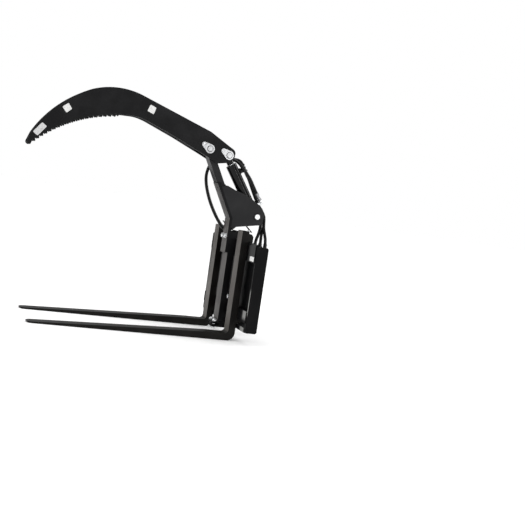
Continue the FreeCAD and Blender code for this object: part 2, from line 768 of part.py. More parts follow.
flagged_pin(pivot, "claw_pivot_pin")
flagged_pin(rod_pin, "cylinder_rod_pin")
bolt_heads = []
for centre in flag_bolts:
    shank = rod("x", s.claw_gap, centre[0], centre[1], s.flag_bolt_radius,
                s.claw_plate + s.flag_thick)
    head = hexagon("x", claw_outer + s.flag_thick, centre[0], centre[1], s.flag_bolt_flats,
                   s.flag_bolt_head)
    bolt_heads.append(fuse(shank, head))
keep(group(*bolt_heads), "pin_flag_bolts")
ring_start = -claw_outer - s.snap_ring_width - s.ring_clear
snap_rings = [end_ring(ring_start, centre, s.snap_ring_width) for centre in (pivot, rod_pin)]

eye_half = s.eye_width * 0.5
collar_width = s.claw_gap - eye_half - s.side_clear * 2
collars = [end_ring(x_low, rod_pin, collar_width)
           for x_low in (eye_half + s.side_clear, -s.claw_gap + s.side_clear)]
keep(group(*snap_rings, *collars), "claw_pin_rings")

base_end = half_tube + s.cheek_thick
keep(rod("x", -base_end - s.snap_ring_width - s.pin_stand, base_pin[0], base_pin[1], s.pin_radius,
         (base_end + s.snap_ring_width + s.pin_stand) * 2), "cylinder_base_pin")
keep(group(end_ring(base_end + s.ring_clear, base_pin, s.snap_ring_width),
           end_ring(-base_end - s.ring_clear - s.snap_ring_width, base_pin, s.snap_ring_width)),
     "base_pin_rings")


# Cylinder: a run along its axis from the base pin, and a side square to it, towards the loader

axis_angle = math.degrees(math.atan2(rod_pin[1] - base_pin[1], rod_pin[0] - base_pin[0]))
axis_length = math.hypot(rod_pin[1] - base_pin[1], rod_pin[0] - base_pin[0])


def on_axis(run, side):
    y, z = turned(axis_angle, run, -float(side))
    return (base_pin[0] + y, base_pin[1] + z)


AXIS_ROTATION = Rotation(Vector(1, 0, 0), axis_angle - 90)


def axial(run, radius, length, side=0, x=0):
    """A cylinder parallel to the barrel."""
    obj = doc.addObject("Part::Cylinder", "axial")
    bind(obj, "Radius", radius)
    bind(obj, "Height", length)
    y, z = on_axis(run, side)
    return moved(obj, Placement(Vector(float(x), y, z), AXIS_ROTATION))


def sideways(run, side, radius, length, x=0):
    """A cylinder square to the barrel, pointing towards the loader."""
    obj = doc.addObject("Part::Cylinder", "sideways")
    bind(obj, "Radius", radius)
    bind(obj, "Height", length)
    y, z = on_axis(run, side)
    return moved(obj, Placement(Vector(float(x), y, z), Rotation(Vector(1, 0, 0), axis_angle - 180)))


def axial_hexagon(run, flats, height, side, x=0):
    obj = doc.addObject("Part::Prism", "union")
    obj.Polygon = 6
    bind(obj, "Circumradius", as_size(flats) * (0.5 / math.cos(math.radians(30))))
    bind(obj, "Height", height)
    y, z = on_axis(run, side)
    return moved(obj, Placement(Vector(float(x), y, z), AXIS_ROTATION))


barrel_length = s.barrel_high - s.barrel_low
tube = cut(axial(s.barrel_low, s.barrel_radius, barrel_length),
           axial(s.barrel_low + s.base_cap, s.bore_radius, barrel_length),
           sideways(s.port_low, 0, s.port_bore, s.barrel_radius + 1),
           sideways(s.port_high, 0, s.port_bore, s.barrel_radius + 1))
keep(tube, "cylinder_barrel")

lug_half = s.lug_width * 0.5
lug_round = rod("x", -lug_half, base_pin[0], base_pin[1], s.lug_radius, s.lug_width)
lug_neck = doc.addObject("Part::Box", "neck")
bind(lug_neck, "Length", s.lug_width)
bind(lug_neck, "Width", s.lug_radius * 2)
bind(lug_neck, "Height", s.barrel_low)
y, z = on_axis(0, -s.lug_radius)
moved(lug_neck, Placement(Vector(-float(lug_half), y, z), AXIS_ROTATION))
bush_outer = s.pin_radius + s.base_bush_wall
keep(cut(fuse(lug_round, lug_neck),
         rod("x", -lug_half - 1, base_pin[0], base_pin[1], bush_outer, s.lug_width + 2)),
     "cylinder_base_lug")
bush = half_tube - s.side_clear
keep(cut(rod("x", -bush, base_pin[0], base_pin[1], bush_outer, bush * 2),
         rod("x", -bush - 1, base_pin[0], base_pin[1], s.pin_radius + s.pin_clear, bush * 2 + 2)),
     "base_pin_bush")

gland_bore = s.rod_radius + s.pin_clear
gland = fuse(axial(s.barrel_high, s.barrel_radius, s.gland_high - s.barrel_high),
             axial(s.barrel_high - s.gland_plug, s.bore_radius, s.gland_plug))
wiper_space = axial(s.gland_high - s.seal_height, s.rod_radius + s.seal_depth, s.seal_height + 1)
keep(cut(gland, axial(s.barrel_high - s.gland_plug - 1, gland_bore,
                      s.gland_high - s.barrel_high + s.gland_plug + 2), wiper_space),
     "cylinder_gland")
keep(cut(axial(s.gland_high - s.seal_height, s.rod_radius + s.seal_depth, s.seal_height + 2),
         axial(s.gland_high - s.seal_height - 1, gland_bore, s.seal_height + 4)), "rod_wiper")

piston_low = s.barrel_low + s.base_cap + s.piston_gap
groove_low = piston_low + s.piston_height * 0.5 - s.seal_height * 0.5
piston = cut(axial(piston_low, s.bore_radius - s.pin_clear, s.piston_height),
             cut(axial(groove_low, s.bore_radius + 1, s.seal_height),
                 axial(groove_low - 1, s.bore_radius - s.seal_depth, s.seal_height + 2)),
             axial(piston_low + s.rod_seat, s.rod_radius, s.piston_height))
keep(piston, "piston")
keep(cut(axial(groove_low, s.bore_radius - s.seal_squeeze, s.seal_height),
         axial(groove_low - 1, s.bore_radius - s.seal_depth, s.seal_height + 2)), "piston_seal")
keep(axial(piston_low + s.rod_seat, s.rod_radius, s.neck_low - piston_low), "piston_rod")

eye_centre = on_axis(axis_length, 0)
tail_centre = on_axis(axis_length - float(s.slot_drop), s.slot_length)


def hull_outline(first, first_radius, second, second_radius):
    """The outline round two circles and the two lines that touch both."""
    gap = math.hypot(second[0] - first[0], second[1] - first[1])
    base = math.atan2(second[1] - first[1], second[0] - first[0])
    spread = math.acos((float(first_radius) - float(second_radius)) / gap)

    def on(around, radius, direction):
        return (around[0] + math.cos(direction) * float(radius),
                around[1] + math.sin(direction) * float(radius))

    return [
        on(first, first_radius, base + spread),
        (on(first, first_radius, base + math.pi), on(first, first_radius, base - spread)),
        on(second, second_radius, base - spread),
        (on(second, second_radius, base), on(second, second_radius, base + spread)),
    ]


slot_first = on_axis(axis_length - float(s.slot_drop), 0)
eye_outline = hull_outline(eye_centre, s.eye_radius, tail_centre, s.eye_tail_radius)
slot_outline = hull_outline(slot_first, s.slot_radius, tail_centre, s.slot_radius)
eye_neck = axial(s.neck_low, s.neck_radius, axis_length - float(s.neck_low))
rod_end = axial(s.neck_low - 1, s.rod_radius, s.rod_seat + 1)
eye = cut(fuse(plate_x(eye_outline, -eye_half, eye_half), eye_neck),
          plate_x(slot_outline, -eye_half - 1, eye_half + 1), rod_end)
keep(eye, "rod_eye")


# Ports and hoses

def port_fitting(run, x, tee):
    """An elbow, or a tee, from the barrel wall out to the hoses."""
    stem = sideways(run, s.barrel_radius, s.port_radius, s.port_reach - s.barrel_radius, x=x)
    ball = doc.addObject("Part::Sphere", "corner")
    bind(ball, "Radius", s.port_radius + s.corner_swell)
    y, z = on_axis(run, s.port_reach)
    moved(ball, Placement(Vector(float(x), y, z), AXIS_ROTATION))
    pieces = [stem, ball, axial(run, s.port_radius, s.tee_half, s.port_reach, x)]
    if tee:
        pieces.append(axial(run - s.tee_half, s.port_radius, s.tee_half, s.port_reach, x))
    boss = sideways(run, s.barrel_radius - s.boss_root, s.port_radius + s.boss_wall,
                    s.boss_root + s.boss_height, x=x)
    shell = axial(s.barrel_low, s.barrel_radius + s.seat_gap, barrel_length)
    return cut(fuse(boss, *pieces), shell)


keep(port_fitting(s.port_low, s.base_port_x, False), "base_port_elbow")
keep(port_fitting(s.port_high, s.rod_port_x, True), "rod_port_tee")

base_union = s.port_low + s.tee_half
upper_union = s.port_high + s.tee_half
lower_union = s.port_high - s.tee_half - s.union_height
base_start = base_union + s.union_height + s.ferrule_length
upper_start = upper_union + s.union_height
side_out = float(s.port_reach)
base_x = float(s.base_port_x)
rod_x = float(s.rod_port_x)
keep(fuse(axial_hexagon(base_union, s.union_flats, s.union_height, side_out, base_x),
          axial(base_union + s.union_height, s.ferrule_radius, s.ferrule_length, side_out, base_x)),
     "base_hose_union")
keep(group(axial_hexagon(upper_union, s.union_flats, s.union_height, side_out, rod_x),
           axial_hexagon(lower_union, s.union_flats, s.union_height, side_out, rod_x)),
     "rod_hose_unions")


def beside_barrel(run, side, x):
    y, z = on_axis(run, side)
    return (float(x), y, z)


BEND_SHARE = 0.45


def hose(points, label, radius=s.hose_radius):
    """A hose along straight runs joined by tangent arcs."""
    points = [Vector(*[float(v) for v in p]) for p in points]
    radius = float(radius)
    edges = []
    start = points[0]
    length = 0
    tightest = 1e9
    for before, corner, after in zip(points, points[1:], points[2:]):
        to_before = (before - corner)
        to_after = (after - corner)
        turn = math.pi - to_before.getAngle(to_after)
        shorter = min(to_before.Length, to_after.Length)
        reach = BEND_SHARE * shorter
        bend_radius = reach / math.tan(turn / 2)
        a = corner + to_before.normalize() * reach
        b = corner + to_after.normalize() * reach
        inward = (a + b) * 0.5 - corner
        hub = inward.Length + (a - b).Length ** 2 / (4 * inward.Length)
        middle = corner + inward.normalize() * (hub - bend_radius)
        edges.append(Part.LineSegment(start, a).toShape())
        edges.append(Part.Arc(a, middle, b).toShape())
        length += (a - start).Length + bend_radius * turn
        tightest = min(tightest, bend_radius)
        start = b
    edges.append(Part.LineSegment(start, points[-1]).toShape())
    length += (points[-1] - start).Length
    spine = Part.Wire(edges)
    first = (points[1] - points[0]).normalize()
    section = Part.Wire([Part.Circle(points[0], first, radius).toShape()])
    solid = spine.makePipeShell([section], True, True)
    expected = math.pi * radius ** 2 * length
    print("%s: length %.0f, tightest radius %.0f, volume ratio %.4f"
          % (label, length, tightest, solid.Volume / expected))
    keep(free_shape(solid), label)


strand_z = s.connector_high
rod_hose_top = [
    beside_barrel(upper_start, side_out, rod_x), beside_barrel(327, side_out, rod_x),
    (-22, 4, 1022), (-48, -2, 1027), (-78, -10, 1022), (-97, -34, 1014), (-98, -70, 1006),
]
base_hose_top = [
    beside_barrel(base_start, side_out, base_x), beside_barrel(160, side_out, base_x),
    beside_barrel(218, side_out, 16), beside_barrel(262, 58, 16), beside_barrel(294, 50, 16),
    beside_barrel(319, 44, 4), beside_barrel(337, 42, -24), (-56, -18, 1009), (-75, -44, 1006),
    (-76, -78, 998),
]
base_hose_low = [
    (0, 176, strand_z), (0, 176, 560), (-10, 194, 606), (-28, 205, 650), (-50, 204, 692),
    (-68, 180, 722), (-68, 136, 718), (-66, 98, 682), (-65, 66, 636), (-65, 30, 600),
    (-65, -12, 602), (-67, -44, 640), (-69, -80, 690), (-71, -113, 748), (-72, -139, 808),
    (-73, -156, 866), (-74, -158, 916), (-75, -144, 960), (-75, -116, 986),
]
rod_hose_low = [
    (0, 208, strand_z), (0, 208, 560), (-13, 211, 606), (-32, 227, 650), (-62, 224, 696),
    (-87, 196, 732), (-89, 148, 734), (-87, 104, 698), (-85, 70, 650), (-84, 36, 612),
    (-84, -6, 608), (-87, -40, 644), (-90, -74, 694), (-92, -106, 750), (-93, -132, 810),
    (-94, -149, 868), (-95, -152, 918), (-96, -138, 964), (-97, -110, 992),
]
feed_hose_top = [
    beside_barrel(lower_union, side_out, rod_x), beside_barrel(220, side_out, rod_x),
    beside_barrel(150, side_out - 8, rod_x), beside_barrel(84, side_out - 14, rod_x),
    beside_barrel(30, side_out - 13, rod_x + 1),
]
feed_hose_low = [
    beside_barrel(18, side_out - 12, rod_x + 1), beside_barrel(-24, side_out - 8, rod_x + 3),
    (-3, 213, 678), (2, 215, 640), (4, 228, 600), (0, 240, 562), (0, 240, strand_z),
]
hose(rod_hose_top, "rod_port_hose_upper")
hose(base_hose_top, "base_port_hose_upper")
hose(rod_hose_low, "rod_port_hose_lower")
hose(base_hose_low, "base_port_hose_lower")
hose(feed_hose_top, "feed_hose_upper")
hose(feed_hose_low, "feed_hose_lower")


# Multi connector

connector_y = (s.connector_front, s.connector_back)
block_high = s.connector_high - s.collet_height
block = box((-s.connector_half, s.connector_half), connector_y, (s.connector_low, block_high))
collets = [rod("z", 0, s.strand_first + s.strand_pitch * place, block_high, s.ferrule_radius,
               s.collet_height) for place in range(3)]
keep(fuse(block, *collets), "multi_connector")
arm = box((-s.connector_half, s.connector_half), (bar_back, s.connector_back),
          (s.connector_low - s.holder_thick, s.connector_low))
leg = box((-s.connector_half, s.connector_half), (bar_back, bar_back + s.holder_thick),
          (s.connector_low - s.holder_leg, s.connector_low))
keep(fuse(arm, leg), "connector_holder")


# Check every object and write the sub-parts

doc.recompute()
problems = [obj.Label for obj in doc.Objects if "Invalid" in obj.State or "Error" in obj.State]
problems += [obj.Label for obj in PARTS if obj.Shape.isNull() or not obj.Shape.isValid()
             or not obj.Shape.Solids]
if problems:
    raise RuntimeError("these objects failed: " + ", ".join(problems))
os.makedirs("parts", exist_ok=True)
for obj in PARTS:
    obj.Shape.exportStep("parts/" + obj.Label + ".step")
print(len(PARTS), "sub-parts written")
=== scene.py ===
import json
import math
import bmesh
import bpy
from mathutils import Matrix, Vector


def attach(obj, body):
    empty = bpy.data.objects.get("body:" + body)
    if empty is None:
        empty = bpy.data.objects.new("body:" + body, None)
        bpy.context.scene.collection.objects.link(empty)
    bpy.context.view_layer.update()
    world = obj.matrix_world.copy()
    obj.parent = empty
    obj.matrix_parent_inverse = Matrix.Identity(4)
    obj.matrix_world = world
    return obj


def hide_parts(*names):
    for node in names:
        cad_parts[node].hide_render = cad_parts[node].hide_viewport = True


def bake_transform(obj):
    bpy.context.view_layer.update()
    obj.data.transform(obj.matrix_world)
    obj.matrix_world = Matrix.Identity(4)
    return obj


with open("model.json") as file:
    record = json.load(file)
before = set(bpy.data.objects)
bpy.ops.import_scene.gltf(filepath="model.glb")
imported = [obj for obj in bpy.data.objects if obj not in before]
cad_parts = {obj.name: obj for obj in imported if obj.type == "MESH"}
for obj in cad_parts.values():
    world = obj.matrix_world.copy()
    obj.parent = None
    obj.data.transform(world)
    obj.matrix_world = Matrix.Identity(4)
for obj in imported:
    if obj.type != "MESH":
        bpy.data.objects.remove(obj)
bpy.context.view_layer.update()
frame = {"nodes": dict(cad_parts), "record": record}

# Places are given from the ground under the shanks' front faces, as in the part's outlines,
# and set back by this much into the frame.
SET_BACK = 0.4685


def at(x, y, z):
    return Vector((x, y + SET_BACK, z))


# Camera: solved from the blades, the shanks and the crossbars

CAMERA_PLACE = at(4.99178, -1.61212, 0.81385)
CAMERA_FORWARD = Vector((-0.9352, 0.3470, -0.0703)).normalized()
CAMERA_RIGHT = Vector((0.3344, 0.9310, 0.1468))
FOCAL_PIXELS = 900
IMAGE_PIXELS = 525


def make_camera():
    """The camera at the photograph's viewing angle, with its frame."""
    data = bpy.data.cameras.new("camera")
    data.sensor_width = 36
    data.lens = FOCAL_PIXELS / IMAGE_PIXELS * data.sensor_width
    data.clip_end = 200
    camera = bpy.data.objects.new("camera", data)
    bpy.context.scene.collection.objects.link(camera)
    back = -CAMERA_FORWARD
    right = (CAMERA_RIGHT - back * CAMERA_RIGHT.dot(back)).normalized()
    up = back.cross(right)
    turn = Matrix((right, up, back)).transposed().to_4x4()
    camera.matrix_world = Matrix.Translation(CAMERA_PLACE) @ turn
    bpy.context.scene.camera = camera


make_camera()


# Materials: the scales of their noise, from broad to fine

CLOUD_SCALE = 7.0
STREAK_SCALE = 9.0
STREAK_STRETCH = (1.0, 1.0, 0.35)
RUB_SCALE = 22.0
RUB_STRETCH = (1.0, 0.25, 1.0)
HOSE_DUST_SCALE = 30.0
STAIN_SCALE = 45.0
LABEL_DIRT_SCALE = 60.0
GRAIN_SCALE = 160.0
LABEL_GRAIN_SCALE = 300.0
PEEL_SCALE = 420.0
FRONT_FACING = (0.75, 0.95)


def blank_material(name):
    """A material's parts: itself, its nodes, links and shader, and a place on the object."""
    material = bpy.data.materials.new(name)
    material.use_nodes = True
    nodes = material.node_tree.nodes
    shader = nodes["Principled BSDF"]
    place = nodes.new("ShaderNodeTexCoord")
    return material, nodes, material.node_tree.links, shader, place.outputs["Object"]


def noise(nodes, links, place, scale, detail=4, stretch=None):
    """A noise value from 0 to 1, in the object's own space."""
    if stretch:
        mapping = nodes.new("ShaderNodeMapping")
        mapping.inputs["Scale"].default_value = stretch
        links.new(place, mapping.inputs["Vector"])
        place = mapping.outputs["Vector"]
    node = nodes.new("ShaderNodeTexNoise")
    node.inputs["Scale"].default_value = scale
    node.inputs["Detail"].default_value = detail
    links.new(place, node.inputs["Vector"])
    return node.outputs["Fac"]


def spread(nodes, links, value, low, high, to_low=0.0, to_high=1.0):
    """The value's stretch from low to high, spread over a new range."""
    node = nodes.new("ShaderNodeMapRange")
    for socket, number in zip(("From Min", "From Max", "To Min", "To Max"),
                              (low, high, to_low, to_high)):
        node.inputs[socket].default_value = number
    links.new(value, node.inputs["Value"])
    return node.outputs["Result"]


def blended(nodes, links, factor, first, second):
    """A colour between two colours; each is three numbers or another node's output."""
    node = nodes.new("ShaderNodeMix")
    node.data_type = "RGBA"
    links.new(factor, node.inputs["Factor"])
    for socket, colour in zip(("A", "B"), (first, second)):
        target = [i for i in node.inputs if i.name == socket and i.type == "RGBA"][0]
        if isinstance(colour, tuple):
            target.default_value = (*colour, 1)
        else:
            links.new(colour, target)
    return [o for o in node.outputs if o.type == "RGBA"][0]


def bumped(nodes, links, shader, value, strength, distance):
    """Gives the shader's surface a fine relief from a value."""
    node = nodes.new("ShaderNodeBump")
    node.inputs["Strength"].default_value = strength
    node.inputs["Distance"].default_value = distance
    links.new(value, node.inputs["Height"])
    links.new(node.outputs["Normal"], shader.inputs["Normal"])


def facing_front(nodes, links, low, high):
    """1 on faces that look along -Y in the object's own space, 0 on the others."""
    place = nodes.new("ShaderNodeTexCoord")
    split = nodes.new("ShaderNodeSeparateXYZ")
    links.new(place.outputs["Normal"], split.inputs["Vector"])
    return spread(nodes, links, split.outputs["Y"], -low, -high)


def multiplied(nodes, links, first, second):
    node = nodes.new("ShaderNodeMath")
    node.operation = "MULTIPLY"
    links.new(first, node.inputs[0])
    links.new(second, node.inputs[1])
    return node.outputs["Value"]


def within(nodes, links, place, axis, low, high, fade=0.01):
    """1 between two levels along an axis of the object's own space, 0 outside them."""
    split = nodes.new("ShaderNodeSeparateXYZ")
    links.new(place, split.inputs["Vector"])
    value = split.outputs[axis]
    return multiplied(nodes, links, spread(nodes, links, value, low - fade, low + fade),
                      spread(nodes, links, value, high + fade, high - fade))


def painted(name, base, dusty, rough, gloss=0.2, worn=None, wear_from=0.66, front=None,
            front_x=None, front_z=None):
    """Satin paint with faint dust clouds and orange peel.

    worn is a colour for random worn patches, and front a painted-light colour on faces that look
    along -Y, where the front light falls, which front_x and front_z keep between two levels.
    """
    material, nodes, links, shader, place = blank_material(name)
    clouds = noise(nodes, links, place, CLOUD_SCALE, 6)
    colour = blended(nodes, links, spread(nodes, links, clouds, 0.45, 0.8), base, dusty)
    # Painted light: faces that look along -Y are lightened, with streaky noise, in place of the
    # front light's fall.
    if front:
        streaks = noise(nodes, links, place, STREAK_SCALE, 6, STREAK_STRETCH)
        share = multiplied(nodes, links, facing_front(nodes, links, *FRONT_FACING),
                           spread(nodes, links, streaks, 0.25, 0.7, 0.35, 1.0))
        for axis, levels in (("X", front_x), ("Z", front_z)):
            if levels:
                share = multiplied(nodes, links, share,
                                   within(nodes, links, place, axis, *levels))
        colour = blended(nodes, links, share, colour, front)
    if worn:
        rubs = noise(nodes, links, place, RUB_SCALE, 8, RUB_STRETCH)
        colour = blended(nodes, links, spread(nodes, links, rubs, wear_from, wear_from + 0.1),
                         colour, worn)
    links.new(colour, shader.inputs["Base Color"])
    links.new(spread(nodes, links, clouds, 0.3, 0.7, *rough), shader.inputs["Roughness"])
    shader.inputs["Specular IOR Level"].default_value = gloss
    peel = noise(nodes, links, place, PEEL_SCALE, 2)
    bumped(nodes, links, shader, peel, 0.12, 0.0006)
    return material


def metal(name, base, stained, rough, grain=(1.0, 1.0, 1.0), grain_scale=GRAIN_SCALE):
    """Bare or plated metal with a fine grain and a few duller stains."""
    material, nodes, links, shader, place = blank_material(name)
    stains = noise(nodes, links, place, STAIN_SCALE, 6)
    colour = blended(nodes, links, spread(nodes, links, stains, 0.45, 0.75), base, stained)
    links.new(colour, shader.inputs["Base Color"])
    shader.inputs["Metallic"].default_value = 1.0
    links.new(spread(nodes, links, stains, 0.35, 0.7, *rough), shader.inputs["Roughness"])
    fine = noise(nodes, links, place, grain_scale, 3, grain)
    bumped(nodes, links, shader, fine, 0.15, 0.0003)
    return material


def rubber(name, base, rough, wrap_scale):
    """Rubber or plastic: dark, satin, with a fine print such as a hose's cloth wrap."""
    material, nodes, links, shader, place = blank_material(name)
    dust = noise(nodes, links, place, HOSE_DUST_SCALE, 5)
    dusty = tuple(c * 2.2 + 0.003 for c in base)
    links.new(blended(nodes, links, spread(nodes, links, dust, 0.5, 0.8), base, dusty),
              shader.inputs["Base Color"])
    links.new(spread(nodes, links, dust, 0.3, 0.7, *rough), shader.inputs["Roughness"])
    shader.inputs["Specular IOR Level"].default_value = 0.2
    wrap = noise(nodes, links, place, wrap_scale, 2)
    bumped(nodes, links, shader, wrap, 0.25, 0.0005)
    return material


def label_stock(name, base, soiled):
    """Blank label film with a little road dirt."""
    material, nodes, links, shader, place = blank_material(name)
    dirt = noise(nodes, links, place, LABEL_DIRT_SCALE, 6)
    links.new(blended(nodes, links, spread(nodes, links, dirt, 0.5, 0.85), base, soiled),
              shader.inputs["Base Color"])
    links.new(spread(nodes, links, dirt, 0.3, 0.7, 0.3, 0.5), shader.inputs["Roughness"])
    grain = noise(nodes, links, place, LABEL_GRAIN_SCALE, 2)
    bumped(nodes, links, shader, grain, 0.08, 0.0003)
    return material


DEEP_BLACK = (0.0022, 0.0022, 0.0026)
DEEP_BLACK_DUSTY = (0.006, 0.006, 0.0064)
# Painted light: a light grey laid on front faces of the frame, standing for where the front light
# falls.
PAINTED_LIGHT_GREY = (0.30, 0.30, 0.29)


def frame_black(name, **painted_light):
    """The carriage's deep black, with painted light on its front faces where it is asked for."""
    return painted(name, DEEP_BLACK, DEEP_BLACK_DUSTY, (0.38, 0.54), gloss=0.08, **painted_light)


CLAW_PAINT = painted("claw_paint", (0.0068, 0.0068, 0.0073), (0.015, 0.015, 0.016), (0.38, 0.55),
                     gloss=0.14)
FLANGE_PAINT = painted("flange_paint", DEEP_BLACK, DEEP_BLACK_DUSTY, (0.6, 0.7), gloss=0.03)
FRAME_PAINT = frame_black("frame_paint")
# Painted light: the mast's faces that look along -Y take a lighter colour where the front light
# falls.
MAST_PAINT = painted("mast_paint", (0.005, 0.005, 0.0055), (0.012, 0.012, 0.0125), (0.36, 0.52),
                     gloss=0.10, front=(0.110, 0.103, 0.099))
BRACKET_PAINT = painted("bracket_paint", (0.010, 0.010, 0.011), (0.022, 0.022, 0.023),
                        (0.36, 0.52))
# Painted light: the shanks' faces that look along -Y take a lighter brownish colour where the front
# light falls; worn adds random worn patches.
FORK_PAINT = painted("fork_paint", (0.005, 0.0046, 0.0042), (0.015, 0.0135, 0.012), (0.36, 0.52),
                     gloss=0.12, worn=(0.05, 0.042, 0.035), wear_from=0.70,
                     front=(0.105, 0.094, 0.085))
# Painted light: the upper bar's front face is lightened at its near end, x 0.30 to 0.42, as if lit.
UPPER_BAR_PAINT = frame_black("upper_bar_paint", front=(0.060, 0.060, 0.060),
                              front_x=(0.30, 0.42))
# Painted light: a band of the lower bar's front face at its near end, z 0.146 to 0.20, is painted
# light grey as if lit.
LOWER_BAR_PAINT = frame_black("lower_bar_paint", front=PAINTED_LIGHT_GREY, front_x=(0.345, 0.42),
                              front_z=(0.146, 0.20))
# Painted light: the foot bar's front face at its near end is painted light grey as if lit.
FOOT_BAR_PAINT = frame_black("foot_bar_paint", front=PAINTED_LIGHT_GREY, front_x=(0.325, 0.385))
# Painted highlight: the side plates' thin front faces, z 0.17 to 0.31, are painted light grey as an
# edge highlight.
SIDE_PAINT = frame_black("side_plate_paint", front=PAINTED_LIGHT_GREY, front_z=(0.17, 0.31))
BARREL_PAINT = painted("barrel_paint", (0.002, 0.002, 0.0023), (0.004, 0.004, 0.0043),
                       (0.15, 0.20), gloss=0.2)
FITTING_BLACK = painted("black_fitting", (0.004, 0.004, 0.0045), (0.010, 0.010, 0.0105),
                        (0.3, 0.42), gloss=0.3)
ZINC = metal("zinc_plate", (0.80, 0.81, 0.82), (0.58, 0.59, 0.60), (0.24, 0.42))
CHROME = metal("hard_chrome", (0.60, 0.61, 0.62), (0.54, 0.55, 0.56), (0.10, 0.18),
               (1.0, 1.0, 0.15), 260.0)
DULL_ZINC = metal("dull_zinc", (0.36, 0.36, 0.37), (0.22, 0.22, 0.22), (0.35, 0.5))
BRONZE = metal("bush_bronze", (0.60, 0.42, 0.22), (0.42, 0.29, 0.15), (0.25, 0.4))
HOSE = rubber("hose_cover", (0.0025, 0.0025, 0.0028), (0.30, 0.40), 380.0)
SEAL = rubber("seal_rubber", (0.010, 0.010, 0.010), (0.5, 0.6), 500.0)
PLASTIC = rubber("black_plastic", (0.009, 0.009, 0.009), (0.4, 0.55), 250.0)
LABEL = label_stock("blank_label", (0.78, 0.78, 0.77), (0.58, 0.57, 0.55))
LABEL_GREY = label_stock("blank_label_grey", (0.62, 0.62, 0.62), (0.42, 0.42, 0.41))

BY_SLOT = {
    "black_paint": FRAME_PAINT, "fork_paint": FORK_PAINT, "zinc": ZINC, "chrome_rod": CHROME,
    "bronze": BRONZE, "hose_rubber": HOSE, "seal_rubber": SEAL, "black_plastic": PLASTIC,
}
BY_NODE = {
    "claw_plate_near": CLAW_PAINT, "claw_plate_far": CLAW_PAINT, "claw_flanges": FLANGE_PAINT,
    "claw_spacer_tubes": CLAW_PAINT, "mast_front_strap": MAST_PAINT,
    "mast_lower_tube": MAST_PAINT, "mast_upper_tube": BRACKET_PAINT,
    "bracket_cheeks": BRACKET_PAINT, "mast_head_boss": BRACKET_PAINT,
    "upper_crossbar": UPPER_BAR_PAINT, "lower_crossbar": LOWER_BAR_PAINT,
    "coupling_foot_bar": FOOT_BAR_PAINT, "side_plates": SIDE_PAINT,
    "cylinder_barrel": BARREL_PAINT, "cylinder_gland": BARREL_PAINT,
    "cylinder_base_lug": BARREL_PAINT, "rod_eye": BARREL_PAINT,
    "rod_port_tee": FITTING_BLACK, "rod_hose_unions": FITTING_BLACK,
}
for entry in frame["record"]["subparts"]:
    node = frame["nodes"][entry["node"]]
    node.data.materials.clear()
    node.data.materials.append(BY_NODE.get(entry["node"], BY_SLOT[entry["material_slot"]]))


# Rounded edges on the carried-over solids, so that they catch the light

SHARP_NODES = ("piston_rod", "piston_seal", "rod_wiper")
ROUNDING = 0.0011
for name, node in frame["nodes"].items():
    if name in SHARP_NODES or "hose" in name:
        continue
    rounding = node.modifiers.new("rounding", "BEVEL")
    rounding.width = ROUNDING
    rounding.segments = 2
    rounding.limit_method = "ANGLE"
    rounding.angle_limit = math.radians(38)
    rounding.use_clamp_overlap = True


# Mesh helpers

def mesh_piece(name, build, material, body):
    """A new piece whose mesh is made by build(bm)."""
    bm = bmesh.new()
    build(bm)
    bmesh.ops.recalc_face_normals(bm, faces=bm.faces)
    mesh = bpy.data.meshes.new(name)
    bm.to_mesh(mesh)
    bm.free()
    mesh.materials.append(material)
    piece = bpy.data.objects.new(name, mesh)
    bpy.context.scene.collection.objects.link(piece)
    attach(piece, body)
    return piece


def square_to(direction):
    """Two directions square to a direction and to each other."""
    helper = Vector((1, 0, 0)) if abs(direction.x) < 0.9 else Vector((0, 1, 0))
    across = direction.cross(helper).normalized()
    return across, direction.cross(across)


def slab(first, second):
    """Builds a thin plate between two equal outlines."""
    def build(bm):
        low = [bm.verts.new(corner) for corner in first]
        high = [bm.verts.new(corner) for corner in second]
        bm.faces.new(low)
        bm.faces.new(high)
        for i in range(len(low)):
            j = (i + 1) % len(low)
            bm.faces.new((low[i], low[j], high[j], high[i]))
    return build


def skin(bm, loops):
    """Faces between rings of points, one after another."""
    for before, after in zip(loops, loops[1:]):
        for k in range(len(before)):
            m = (k + 1) % len(before)
            bm.faces.new((before[k], before[m], after[m], after[k]))


def close(bm, loops):
    """Faces over the first and the last ring."""
    bm.faces.new(loops[0])
    bm.faces.new(loops[-1])


def turned_piece(start, direction, stations, sides=48, twist=0.0):
    """Builds a turned or hexagonal piece along a direction.

    A station is (distance along, radius), or (distance along, radius, width across flats) where
    flats cut the round, as on a chamfered nut.
    """
    direction = Vector(direction).normalized()
    across, other = square_to(direction)
    sixth = math.pi / 3

    def build(bm):
        loops = []
        for station in stations:
            loop = []
            for k in range(sides):
                angle = 2 * math.pi * k / sides
                radius = station[1]
                if len(station) > 2:
                    radius = min(radius, station[2] / 2 / math.cos(angle % sixth - sixth / 2))
                side = across * math.cos(angle + twist) + other * math.sin(angle + twist)
                loop.append(bm.verts.new(start + direction * station[0] + side * radius))
            loops.append(loop)
        skin(bm, loops)
        close(bm, loops)
    return build


RIPPLE = 0.004
RIPPLE_STEP = RIPPLE * 0.34
RIPPLE_SHARE = 0.16
BEAD_SIDES = 8
BEAD_ANGLES = [2 * math.pi * k / BEAD_SIDES for k in range(BEAD_SIDES)]


